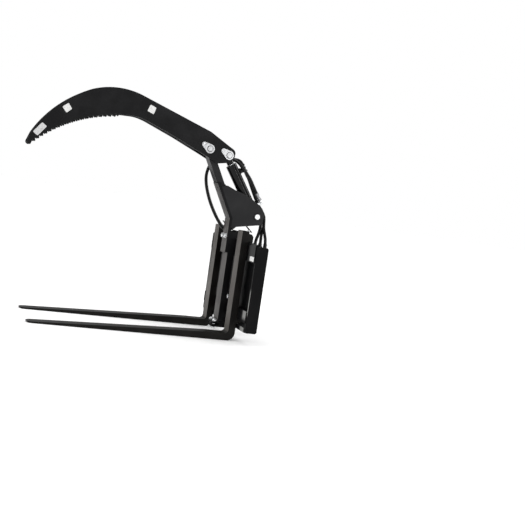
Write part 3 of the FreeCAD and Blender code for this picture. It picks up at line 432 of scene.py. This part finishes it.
def bead(points, radius):
    """Builds a weld bead along points, with the ripples of its passes."""
    def build(bm):
        line = []
        for before, after in zip(points, points[1:]):
            steps = max(2, int((after - before).length / RIPPLE_STEP))
            line += [before.lerp(after, k / steps) for k in range(steps)]
        line.append(points[-1])
        travel = 0.0
        radii = []
        for before, after in zip(line, line[1:] + [line[-1]]):
            radii.append(radius * (1 + RIPPLE_SHARE * abs(math.sin(math.pi * travel / RIPPLE))))
            travel += (after - before).length
        radii[0] = radii[-1] = radius * 0.4
        across, other = square_to((line[-1] - line[0]).normalized())
        loops = [[bm.verts.new(centre + (across * math.cos(a) + other * math.sin(a)) * thick)
                  for a in BEAD_ANGLES] for centre, thick in zip(line, radii)]
        skin(bm, loops)
        close(bm, loops)
    return build


def ring_bead(centre, direction, ring_radius, radius):
    """Builds a weld bead that runs round a tube."""
    direction = Vector(direction).normalized()
    across, other = square_to(direction)

    def build(bm):
        count = max(24, int(2 * math.pi * ring_radius / RIPPLE_STEP))
        passes = max(6, round(2 * math.pi * ring_radius / RIPPLE))
        loops = []
        for k in range(count):
            turn = 2 * math.pi * k / count
            side = across * math.cos(turn) + other * math.sin(turn)
            thick = radius * (1 + RIPPLE_SHARE * abs(math.sin(turn * passes / 2)))
            loops.append([bm.verts.new(centre + side * (ring_radius + thick * math.cos(a))
                                       + direction * thick * math.sin(a))
                          for a in BEAD_ANGLES])
        skin(bm, loops + loops[:1])
    return build


def smooth(piece, angle=40):
    """Smooth shading with the sharp edges kept."""
    for polygon in piece.data.polygons:
        polygon.use_smooth = True
    bm = bmesh.new()
    bm.from_mesh(piece.data)
    for edge in bm.edges:
        edge.smooth = len(edge.link_faces) == 2 and edge.calc_face_angle() < math.radians(angle)
    bm.to_mesh(piece.data)
    bm.free()
    return piece


# Cylinder axis: a run along it from the base pin and a side square to it, towards the loader

BASE_PIN = (0.148, 0.702)
ROD_PIN = (-0.075, 1.028)
AXIS_ANGLE = math.atan2(ROD_PIN[1] - BASE_PIN[1], ROD_PIN[0] - BASE_PIN[0])


def beside_barrel(run, side, x):
    """A place by the barrel; a side of 0 is on its axis."""
    y = BASE_PIN[0] + math.cos(AXIS_ANGLE) * run + math.sin(AXIS_ANGLE) * side
    z = BASE_PIN[1] + math.sin(AXIS_ANGLE) * run - math.cos(AXIS_ANGLE) * side
    return (x, y, z)


AXIS = Vector((0, math.cos(AXIS_ANGLE), math.sin(AXIS_ANGLE)))
OUTWARD = Vector((0, math.sin(AXIS_ANGLE), -math.cos(AXIS_ANGLE)))


# Hoses: the routes follow the part's points, in metres, moved a little

HOSE_RADIUS = 0.009
PORT_REACH = 0.066
BASE_X = 0.012
ROD_X = -0.009
ROD_HOSE = [
    beside_barrel(0.306, PORT_REACH, ROD_X), beside_barrel(0.320, PORT_REACH, ROD_X),
    beside_barrel(0.335, 0.060, -0.021), beside_barrel(0.343, 0.052, -0.047),
    beside_barrel(0.348, 0.046, -0.078),
    (-0.097, -0.036, 1.013), (-0.098, -0.070, 1.006), (-0.097, -0.110, 0.992),
    (-0.096, -0.138, 0.964), (-0.095, -0.152, 0.918), (-0.094, -0.149, 0.868),
    (-0.093, -0.132, 0.810), (-0.092, -0.106, 0.750), (-0.090, -0.074, 0.694),
    (-0.087, -0.040, 0.644), (-0.084, -0.006, 0.608), (-0.084, 0.036, 0.612),
    (-0.085, 0.070, 0.650), (-0.087, 0.104, 0.698), (-0.089, 0.148, 0.734),
    (-0.087, 0.196, 0.732), (-0.062, 0.224, 0.696), (-0.032, 0.227, 0.650),
    (-0.013, 0.211, 0.606), (0.0, 0.208, 0.560), (0.0, 0.208, 0.520),
]
CLIP_RUN = 0.271
CLIP_PLACE = beside_barrel(CLIP_RUN, 0.0565, 0.016)
BASE_HOSE_STRAND = [
    beside_barrel(0.119, PORT_REACH, BASE_X), beside_barrel(0.160, PORT_REACH, BASE_X),
    beside_barrel(0.206, 0.067, 0.015), beside_barrel(0.244, 0.0617, 0.016), CLIP_PLACE,
]
BASE_HOSE = [
    CLIP_PLACE, beside_barrel(0.294, 0.0513, 0.016), beside_barrel(0.319, 0.048, 0.006),
    beside_barrel(0.337, 0.045, -0.020),
    (-0.056, -0.018, 1.009), (-0.075, -0.044, 1.006), (-0.076, -0.078, 0.998),
    (-0.075, -0.116, 0.986), (-0.075, -0.144, 0.960), (-0.074, -0.158, 0.916),
    (-0.073, -0.156, 0.866), (-0.072, -0.139, 0.808), (-0.071, -0.113, 0.748),
    (-0.069, -0.080, 0.690), (-0.067, -0.044, 0.640), (-0.065, -0.012, 0.602),
    (-0.065, 0.030, 0.600), (-0.065, 0.066, 0.636), (-0.066, 0.098, 0.682),
    (-0.068, 0.136, 0.718), (-0.068, 0.180, 0.722), (-0.050, 0.204, 0.692),
    (-0.028, 0.205, 0.650), (-0.010, 0.194, 0.606), (0.0, 0.176, 0.560), (0.0, 0.176, 0.520),
]
FEED_HOSE = [
    beside_barrel(0.258, PORT_REACH, ROD_X), beside_barrel(0.220, PORT_REACH, ROD_X),
    beside_barrel(0.150, 0.058, ROD_X), beside_barrel(0.084, 0.052, ROD_X),
    beside_barrel(0.030, 0.053, -0.008), beside_barrel(-0.024, 0.058, -0.006),
    (-0.003, 0.213, 0.678), (0.002, 0.215, 0.640), (0.004, 0.228, 0.600),
    (0.0, 0.240, 0.562), (0.0, 0.240, 0.520),
]


def hose_curve(name, points, radius):
    """A smooth line that the points pull, as thick as the radius makes it."""
    data = bpy.data.curves.new(name, "CURVE")
    data.dimensions = "3D"
    data.bevel_depth = radius
    data.bevel_resolution = 5
    data.resolution_u = 10
    data.use_fill_caps = True
    spline = data.splines.new("NURBS")
    spline.points.add(len(points) - 1)
    for point, place in zip(spline.points, points):
        point.co = (*at(*place), 1)
    spline.order_u = 3
    spline.use_endpoint_u = True
    return bpy.data.objects.new(name, data)


def curve_line(points):
    """Points along the hose's own smooth line."""
    thin = hose_curve("line", points, 0)
    thin.data.use_fill_caps = False
    mesh = bpy.data.meshes.new_from_object(thin)
    line = [vertex.co.copy() for vertex in mesh.vertices]
    bpy.data.objects.remove(thin)
    return line


def hose(name, points, node_names, blend=None):
    """A hose mesh in place of its solids, riding on the barrel unless blend is given."""
    curve = hose_curve(name + "_curve", points, HOSE_RADIUS)
    mesh = bpy.data.meshes.new_from_object(curve)
    bpy.data.objects.remove(curve)
    mesh.name = name
    mesh.materials.clear()
    mesh.materials.append(HOSE)
    for polygon in mesh.polygons:
        polygon.use_smooth = True
    piece = bpy.data.objects.new(name, mesh)
    bpy.context.scene.collection.objects.link(piece)
    if blend:
        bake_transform(piece)
    else:
        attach(piece, "barrel")
    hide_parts(*node_names)
    return piece


def hanging(points):
    """Works out the smooth line of a hose that hangs between two fittings, and keeps nothing of it.
    """
    line = curve_line(points)


# Where a hose turns from the cylinder's piece into the frame's: from the first place to the second
OVER_TOP = ((0, -0.049, 1.019), (0, -0.1006, 0.911))
PAST_HINGE = (beside_barrel(0.060, 0.060, 0), beside_barrel(-0.020, 0.060, 0))
rod_hose = hose("rod_port_hose", ROD_HOSE, ("rod_port_hose_upper", "rod_port_hose_lower"),
                OVER_TOP)
hose("base_port_hose_strand", BASE_HOSE_STRAND, ("base_port_hose_upper",))
base_hose = hose("base_port_hose", BASE_HOSE, ("base_port_hose_lower",), OVER_TOP)
feed_hose = hose("feed_hose", FEED_HOSE, ("feed_hose_upper", "feed_hose_lower"), PAST_HINGE)
hanging(ROD_HOSE)
hanging(BASE_HOSE)
hanging(FEED_HOSE)


# Hose ends and clips

def crimp_profile(start, length, radius):
    """A ferrule's stations, with its rows of crimped dies."""
    rows = 5
    step = (length - 0.006) / rows
    profile = [(start, radius - 0.0022), (start + 0.001, radius - 0.0003)]
    for row in range(rows):
        base = start + 0.003 + step * row
        profile += [(base, radius), (base + step * 0.66, radius),
                    (base + step * 0.76, radius - 0.0009), (base + step * 0.92, radius - 0.0009)]
    profile += [(start + length - 0.001, radius - 0.0004), (start + length, radius - 0.0022)]
    return profile


def hex_profile(start, length, flats):
    """A chamfered hexagon's stations."""
    corner = flats / 2 / math.cos(math.radians(30))
    chamfer = 0.0014
    return [(start, flats * 0.47), (start + chamfer, corner, flats),
            (start + length - chamfer, corner, flats), (start + length, flats * 0.47)]


UNION_FLATS = 0.024
UNION_HEIGHT = 0.011
TEE_HALF = 0.013
FERRULE_RADIUS = 0.0115
BASE_PORT_RUN = 0.057
ROD_PORT_RUN = 0.282


def union(name, run, x, direction, ferrule, material, nodes=()):
    """A swivel nut and its ferrule on a fitting's end, parallel to the barrel."""
    start = at(*beside_barrel(run, PORT_REACH, x))
    stations = [(-0.001, 0.0085), (0.0, 0.0095)] + hex_profile(0.0005, UNION_HEIGHT - 0.0005,
                                                            UNION_FLATS)
    if ferrule:
        stations += [(UNION_HEIGHT, 0.0088), (UNION_HEIGHT + 0.003, 0.0088)]
        stations += crimp_profile(UNION_HEIGHT + 0.003, ferrule - 0.003, FERRULE_RADIUS)
    piece = mesh_piece(name, turned_piece(start, direction, stations, twist=0.2), material,
                       "barrel")
    if nodes:
        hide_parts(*nodes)
    return smooth(piece, 32)


union("base_hose_end", BASE_PORT_RUN + TEE_HALF, BASE_X, AXIS, 0.038, DULL_ZINC,
      ("base_hose_union",))
union("rod_hose_end", ROD_PORT_RUN + TEE_HALF, ROD_X, AXIS, 0, FITTING_BLACK,
      ("rod_hose_unions",))
union("feed_hose_end", ROD_PORT_RUN - TEE_HALF, ROD_X, -AXIS, 0.034, FITTING_BLACK)


def sleeve(name, points, length, body):
    """A ferrule round a hose's first stretch."""
    start = at(*points[0])
    direction = at(*points[1]) - start
    piece = mesh_piece(name, turned_piece(start, direction,
                                          crimp_profile(0.0, length, FERRULE_RADIUS)),
                       FITTING_BLACK, body)
    return smooth(piece, 32)


for label, points in (("rod", ROD_HOSE), ("base", BASE_HOSE), ("feed", FEED_HOSE)):
    sleeve("connector_ferrule_" + label, points[::-1], 0.030, "root")


CLIP_HALF_WIDTH = 0.008
CLIP_BORE = 0.0088
CLIP_RADIUS = 0.0112
CLIP_FOOT_RADIUS = 0.0075
CLIP_STAND_RADIUS = 0.0062
CLIP_STAND = 0.024


def hose_clip():
    """A clip round the hose beside the barrel, on a short stand-off."""
    middle = at(*CLIP_PLACE)
    half = CLIP_HALF_WIDTH
    band = [(-half, CLIP_BORE), (-half + 0.001, CLIP_RADIUS), (half - 0.001, CLIP_RADIUS),
            (half, CLIP_BORE)]
    slope = at(*BASE_HOSE[1]) - at(*BASE_HOSE_STRAND[-2])
    smooth(mesh_piece("hose_clip", turned_piece(middle, slope, band), FITTING_BLACK, "barrel"))
    foot = at(*beside_barrel(CLIP_RUN, 0.0290, 0.012))
    stand = [(0.0, CLIP_FOOT_RADIUS), (0.003, CLIP_FOOT_RADIUS), (0.0035, CLIP_STAND_RADIUS),
             (CLIP_STAND, CLIP_STAND_RADIUS)]
    smooth(mesh_piece("hose_clip_stand", turned_piece(foot, OUTWARD, stand, 24), FITTING_BLACK,
                      "barrel"))


def tee_plug():
    """The plated plug in the tee's outer side."""
    start = at(*beside_barrel(ROD_PORT_RUN, PORT_REACH + 0.0095, ROD_X))
    head = [(0.0, 0.0060), (0.0014, 0.0060)] + hex_profile(0.0016, 0.0045, 0.012)
    smooth(mesh_piece("tee_plug", turned_piece(start, OUTWARD, head), ZINC, "barrel"), 30)


tee_plug()
hose_clip()


# Bolts, nuts and pin ends

SIDES = (("near", 1), ("far", -1))
BOLT_FLATS = 0.024
BOLT_RADIUS = 0.008
HEAD_HEIGHT = 0.010
WASHER = (0.015, 0.003)
NUT_HEIGHT = 0.013
THREAD_PAST = 0.004
THREAD_PITCH = 0.002


def thread_profile(start, length, radius):
    """The stations of a thread's crests and roots."""
    stations = []
    turns = max(1, round(length / THREAD_PITCH))
    for k in range(turns):
        base = start + THREAD_PITCH * k
        stations += [(base, radius * 0.93), (base + THREAD_PITCH * 0.4, radius),
                     (base + THREAD_PITCH * 0.6, radius)]
    return stations + [(start + length, radius * 0.82)]


def bolt(name, place, direction, run, body, twist, nodes=()):
    """A bolt whose head rests on a washer at the given place and whose nut rests after its run."""
    radius, thick = WASHER
    head_start = -thick - HEAD_HEIGHT
    stations = [(head_start, BOLT_FLATS * 0.40), (head_start + 0.0004, BOLT_FLATS * 0.43)]
    stations += hex_profile(head_start + 0.0005, HEAD_HEIGHT - 0.0005, BOLT_FLATS)
    stations += [(-thick, radius - 0.0006), (-thick + 0.0006, radius), (-0.0004, radius),
                 (0.0, radius - 0.0004), (0.0, BOLT_RADIUS), (run, BOLT_RADIUS)]
    stations += hex_profile(run + 0.0001, NUT_HEIGHT - 0.0001, BOLT_FLATS)
    stations += [(run + NUT_HEIGHT, BOLT_RADIUS)]
    stations += thread_profile(run + NUT_HEIGHT, THREAD_PAST, BOLT_RADIUS)
    piece = mesh_piece(name, turned_piece(Vector(place), direction, stations, twist=twist), ZINC,
                       body)
    if nodes:
        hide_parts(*nodes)
    return smooth(piece, 32)


# A pair's name, its near bolt's place, the way it points, its run and the turns of its two heads
BOLT_PAIRS = (
    ("foot_bolt", (0.028, -0.015, 0.036), (0, 0, 1), 0.030, (0.3, 0.9)),
    ("ear_bolt", (0.070, 0.040, 0.224), (0, 1, 0), 0.0405, (0.5, 0.1)),
    ("strap_bolt", (0.025, -0.016, 0.570), (0, 1, 0), 0.022, (0.7, 0.2)),
)
stood_for = ("mast_bolts",)
for pair, (x, y, z), direction, run, twists in BOLT_PAIRS:
    for (side, sign), twist in zip(SIDES, twists):
        bolt("%s_%s" % (pair, side), at(sign * x, y, z), direction, run, "root", twist, stood_for)
        stood_for = ()

PIVOT = (-0.1927, 1.0474)
CLAW_OUTER = 0.050
FLAG_THICK = 0.006
FLAG_OUTER = CLAW_OUTER + FLAG_THICK
FLAG_OFFSET = 0.042
FLAG_ANGLE = math.radians(151)
PIN_STAND = 0.004
PIN_RADIUS = 0.015


def pin_end(name, place):
    """A seat ring round a claw pin's end and a grease nipple in its middle."""
    start = at(FLAG_OUTER, *place)
    ring = [(0.0, PIN_RADIUS + 0.0008), (0.0, PIN_RADIUS + 0.0030), (0.0014, PIN_RADIUS + 0.0030),
            (0.0014, PIN_RADIUS + 0.0002)]
    smooth(mesh_piece(name + "_seat", turned_piece(start, (1, 0, 0), ring), SEAL, "claw"))
    nipple = [(PIN_STAND - 0.0002, 0.0052), (PIN_STAND + 0.0004, 0.0058, 0.010),
              (PIN_STAND + 0.0020, 0.0058, 0.010), (PIN_STAND + 0.0024, 0.0030),
              (PIN_STAND + 0.0044, 0.0030), (PIN_STAND + 0.0050, 0.0022),
              (PIN_STAND + 0.0056, 0.0030), (PIN_STAND + 0.0066, 0.0026),
              (PIN_STAND + 0.0074, 0.0012)]
    smooth(mesh_piece(name + "_grease_nipple", turned_piece(start, (1, 0, 0), nipple), ZINC,
                      "claw"), 30)


def lobe_bolt(name, place, nodes=()):
    """The small bolt that holds a pin's flag to the claw plate."""
    y = place[0] + math.cos(FLAG_ANGLE) * FLAG_OFFSET
    z = place[1] + math.sin(FLAG_ANGLE) * FLAG_OFFSET
    start = at(FLAG_OUTER, y, z)
    stations = [(-0.016, 0.0050), (0.0, 0.0050), (0.0, 0.0092), (0.0012, 0.0095),
                (0.0016, 0.0092)] + hex_profile(0.0018, 0.0052, 0.016) + [(0.0066, 0.0030)]
    piece = mesh_piece(name, turned_piece(start, (1, 0, 0), stations, twist=0.4), ZINC,
                       "claw")
    if nodes:
        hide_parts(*nodes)
    smooth(piece, 32)


pin_end("claw_pivot", PIVOT)
pin_end("rod_pin", ROD_PIN)
lobe_bolt("claw_pivot_flag_bolt", PIVOT, ("pin_flag_bolts",))
lobe_bolt("rod_pin_flag_bolt", ROD_PIN)


# Blank labels

LABEL_THICK = 0.0007
BAR_LABEL_THICK = 0.0003
CLAW_LABELS = (
    ("label_claw_1", LABEL, ((-1.0348, 1.1408), (-1.0047, 1.1658), (-0.9823, 1.1376),
                             (-1.0093, 1.1121))),
    ("label_claw_2", LABEL, ((-0.5645, 1.2332), (-0.5299, 1.2210), (-0.5404, 1.1832),
                             (-0.5779, 1.1961))),
    ("label_claw_3", LABEL_GREY, ((-1.1277, 1.0418), (-1.1007, 1.0234), (-1.1432, 0.9674),
                                  (-1.1700, 0.9853))),
)


def rounded(corners, share=0.12):
    """An outline with each corner rounded into three."""
    result = []
    for index, corner in enumerate(corners):
        here = Vector(corner)
        before = Vector(corners[index - 1])
        after = Vector(corners[(index + 1) % len(corners)])
        start = here.lerp(before, share)
        end = here.lerp(after, share)
        result += [tuple(start), tuple((start + end + here * 2) / 4), tuple(end)]
    return result


for name, material, corners in CLAW_LABELS:
    outline = rounded(corners)
    mesh_piece(name, slab([at(CLAW_OUTER, y, z) for y, z in outline],
                          [at(CLAW_OUTER + LABEL_THICK, y, z) for y, z in outline]),
               material, "claw")

BAR_FRONT = 0.0405
bar_outline = rounded([(0.330, 0.465), (0.397, 0.465), (0.397, 0.491), (0.330, 0.491)])
mesh_piece("label_upper_bar", slab([at(x, BAR_FRONT, z) for x, z in bar_outline],
                                   [at(x, BAR_FRONT - BAR_LABEL_THICK, z) for x, z in bar_outline]),
           LABEL, "root")


# Weld beads

LEAN = math.radians(28)
BEND = (-0.016, 0.6725)


def leaning(run, depth):
    """A point on the leaning mast, from its run along the mast and its depth behind the front."""
    return (BEND[0] - math.sin(LEAN) * run + math.cos(LEAN) * depth,
            BEND[1] + math.cos(LEAN) * run + math.sin(LEAN) * depth)


def weld(name, points, radius, body, material=FRAME_PAINT):
    """A straight or bent bead."""
    line = [at(*point) for point in points]
    smooth(mesh_piece(name, bead(line, radius), material, body))


def round_weld(name, centre, direction, ring_radius, radius, body, material=FRAME_PAINT):
    """A bead round a tube."""
    smooth(mesh_piece(name, ring_bead(at(*centre), direction, ring_radius, radius), material,
                      body))


STRAP_THICK = 0.016
HALF_TUBE = 0.035
BEHIND_BAR = 0.0712
BEHIND_PLATE = 0.0708
SHANK_BACK = 0.0402
SHANK_X = 0.224
HOOK_HALF = 0.037
UPRIGHT_X = 0.212
UPRIGHT_HALF = 0.0062
FLANGE_X = 0.0392
FOOT_PLATE_X = 0.0452
FOOT_PLATE_TOP = 0.0665
UPPER_FLANGE = [(-1.100, 1.090), (-1.050, 1.142), (-0.975, 1.204), (-0.888, 1.252),
                (-0.800, 1.278), (-0.710, 1.284), (-0.616, 1.268), (-0.200, 1.134)]
LOWER_FLANGE = [(-0.610, 1.156), (-0.567, 1.145), (-0.397, 1.083), (-0.262, 1.028)]
for side, sign in SIDES:
    for label, low, high in (("upper", 0.462, 0.556), ("lower", 0.127, 0.188)):
        weld("weld_%s_bar_%s" % (label, side),
             [(sign * 0.4075, BAR_FRONT, low), (sign * 0.4075, BAR_FRONT, high)], 0.0032, "root")
        weld("weld_%s_bar_back_%s" % (label, side),
             [(sign * 0.4070, BEHIND_BAR, low), (sign * 0.4070, BEHIND_BAR, high)], 0.0032, "root")
    for label, low, high in (("upper", 0.564, 0.604), ("lower", 0.104, 0.122)):
        for edge in (-1, 1):
            x = sign * SHANK_X + edge * HOOK_HALF
            weld("weld_hook_%s_%s_%s" % (label, side, "right" if edge > 0 else "left"),
                 [(x, SHANK_BACK, low), (x, SHANK_BACK, high)], 0.003, side + "_fork",
                 FORK_PAINT)
    for edge in (-1, 1):
        x = sign * (UPRIGHT_X + edge * UPRIGHT_HALF)
        weld("weld_upright_%s_%s" % (side, "outer" if edge > 0 else "inner"),
             [(x, BEHIND_PLATE, 0.194), (x, BEHIND_PLATE, 0.456)], 0.003, "root")
        weld("weld_gusset_%s_%s" % (side, "outer" if edge > 0 else "inner"),
             [(x, BEHIND_PLATE, 0.102), (x, BEHIND_PLATE, 0.186)], 0.003, "root")
    for label, x in (("inner", 0.2188), ("outer", 0.4072)):
        round_weld("weld_hook_tube_%s_%s" % (side, label), (sign * x, 0.096, 0.425), (1, 0, 0),
                   0.0140, 0.003, "root")
    weld("weld_strap_" + side,
         [(sign * (HALF_TUBE + 0.001), *leaning(0.066, STRAP_THICK + 0.0005)),
          (sign * (HALF_TUBE + 0.001), *leaning(0.213, STRAP_THICK + 0.0005))], 0.0028, "root",
         BRACKET_PAINT)
    weld("weld_cheek_" + side,
         [(sign * (HALF_TUBE + 0.0005), -0.0655, 0.8583),
          (sign * (HALF_TUBE + 0.0005), *leaning(0.208, STRAP_THICK + 0.002))], 0.003, "root",
         BRACKET_PAINT)
    round_weld("weld_head_boss_" + side, (sign * (HALF_TUBE - 0.0002), *PIVOT), (1, 0, 0),
               0.0280, 0.0026, "root", BRACKET_PAINT)
    weld("weld_upper_flange_" + side,
         [(sign * FLANGE_X, y, z + 0.0005) for y, z in UPPER_FLANGE], 0.003, "claw", CLAW_PAINT)
    weld("weld_lower_flange_" + side,
         [(sign * FLANGE_X, y, z - 0.0005) for y, z in LOWER_FLANGE], 0.003, "claw", CLAW_PAINT)
    weld("weld_foot_plate_" + side,
         [(sign * FOOT_PLATE_X, 0.002, FOOT_PLATE_TOP),
          (sign * FOOT_PLATE_X, 0.038, FOOT_PLATE_TOP)], 0.003, "root", MAST_PAINT)
    weld("weld_ear_" + side,
         [(sign * 0.0455, 0.0395, 0.205), (sign * 0.0455, 0.0395, 0.243)], 0.0028, "root",
         MAST_PAINT)
weld("weld_foot_plate_front",
     [(-0.043, -0.0008, FOOT_PLATE_TOP), (0.043, -0.0008, FOOT_PLATE_TOP)], 0.003, "root",
     MAST_PAINT)
weld("weld_strap_low", [(-0.043, -0.0155, 0.4735), (0.043, -0.0155, 0.4735)], 0.0022, "root",
     MAST_PAINT)
weld("weld_strap_top", [(-0.033, *leaning(0.2165, 0.0005)), (0.033, *leaning(0.2165, 0.0005))],
     0.0028, "root", BRACKET_PAINT)
round_weld("weld_base_lug", beside_barrel(0.0345, 0, 0), AXIS, 0.0300, 0.0028, "barrel",
           BARREL_PAINT)
for label, run, x in (("base", BASE_PORT_RUN, BASE_X), ("rod", ROD_PORT_RUN, ROD_X)):
    round_weld("weld_%s_port" % label, beside_barrel(run, 0.0310, x), OUTWARD, 0.0132, 0.0016,
               "barrel", BARREL_PAINT)


# Stage: a pale floor, a white room and soft lights

SIDE_LIGHT = 0.35
TOP_LIGHT = 1.45
TOP_LIGHT_RISE = (0.25, 0.8)
FLOOR_REACH = 40.0
FLOOR_DROP = 0.0004


def make_floor():
    """A wide pale floor a hair below the part."""
    mesh = bpy.data.meshes.new("floor")
    corners = [(x * FLOOR_REACH, y * FLOOR_REACH, -FLOOR_DROP)
               for x, y in ((-1, -1), (1, -1), (1, 1), (-1, 1))]
    mesh.from_pydata(corners, [], [(0, 1, 2, 3)])
    material, nodes, links, shader, place = blank_material("floor")
    clouds = noise(nodes, links, place, 0.8, 3)
    links.new(blended(nodes, links, clouds, (0.95, 0.95, 0.95), (0.97, 0.97, 0.97)),
              shader.inputs["Base Color"])
    shader.inputs["Roughness"].default_value = 0.9
    mesh.materials.append(material)
    floor = bpy.data.objects.new("floor", mesh)
    bpy.context.scene.collection.objects.link(floor)


def make_world():
    """A white room that lights the part more from above than from the sides."""
    world = bpy.data.worlds.new("studio")
    bpy.context.scene.world = world
    world.use_nodes = True
    nodes = world.node_tree.nodes
    links = world.node_tree.links
    room = nodes["Background"]
    room.inputs["Color"].default_value = (1, 1, 1, 1)
    place = nodes.new("ShaderNodeTexCoord")
    split = nodes.new("ShaderNodeSeparateXYZ")
    links.new(place.outputs["Generated"], split.inputs["Vector"])
    lighting = spread(nodes, links, split.outputs["Z"], *TOP_LIGHT_RISE, SIDE_LIGHT,
                      TOP_LIGHT)
    path = nodes.new("ShaderNodeLightPath")
    strength = nodes.new("ShaderNodeMix")
    links.new(path.outputs["Is Camera Ray"], strength.inputs["Factor"])
    links.new(lighting, strength.inputs["A"])
    strength.inputs["B"].default_value = 1.0
    links.new(strength.outputs["Result"], room.inputs["Strength"])


def area_light(name, place, target, size, power, along=(0, 0, 1)):
    """A soft light of a width and a height, whose height runs along a direction."""
    data = bpy.data.lights.new(name, "AREA")
    data.shape = "RECTANGLE"
    data.size = size[0]
    data.size_y = size[1]
    data.energy = power
    light = bpy.data.objects.new(name, data)
    back = (Vector(place) - Vector(target)).normalized()
    right = Vector(along).cross(back).normalized()
    turn = Matrix((right, back.cross(right), back)).transposed().to_4x4()
    light.matrix_world = Matrix.Translation(place) @ turn
    bpy.context.scene.collection.objects.link(light)


make_floor()
make_world()
area_light("front_key", (0.6, -4.5, 2.2), (0, 0, 0.6), (3.0, 2.5), 60)
area_light("back_key", (-0.8, 4.8, 2.4), (0, 0.3, 0.5), (3.0, 2.5), 110)
area_light("side_strip", (4.4, 2.9, 1.0), (0, 0.5, 0.87), (0.25, 1.6), 21, AXIS)
bpy.context.scene.view_settings.view_transform = "Standard"
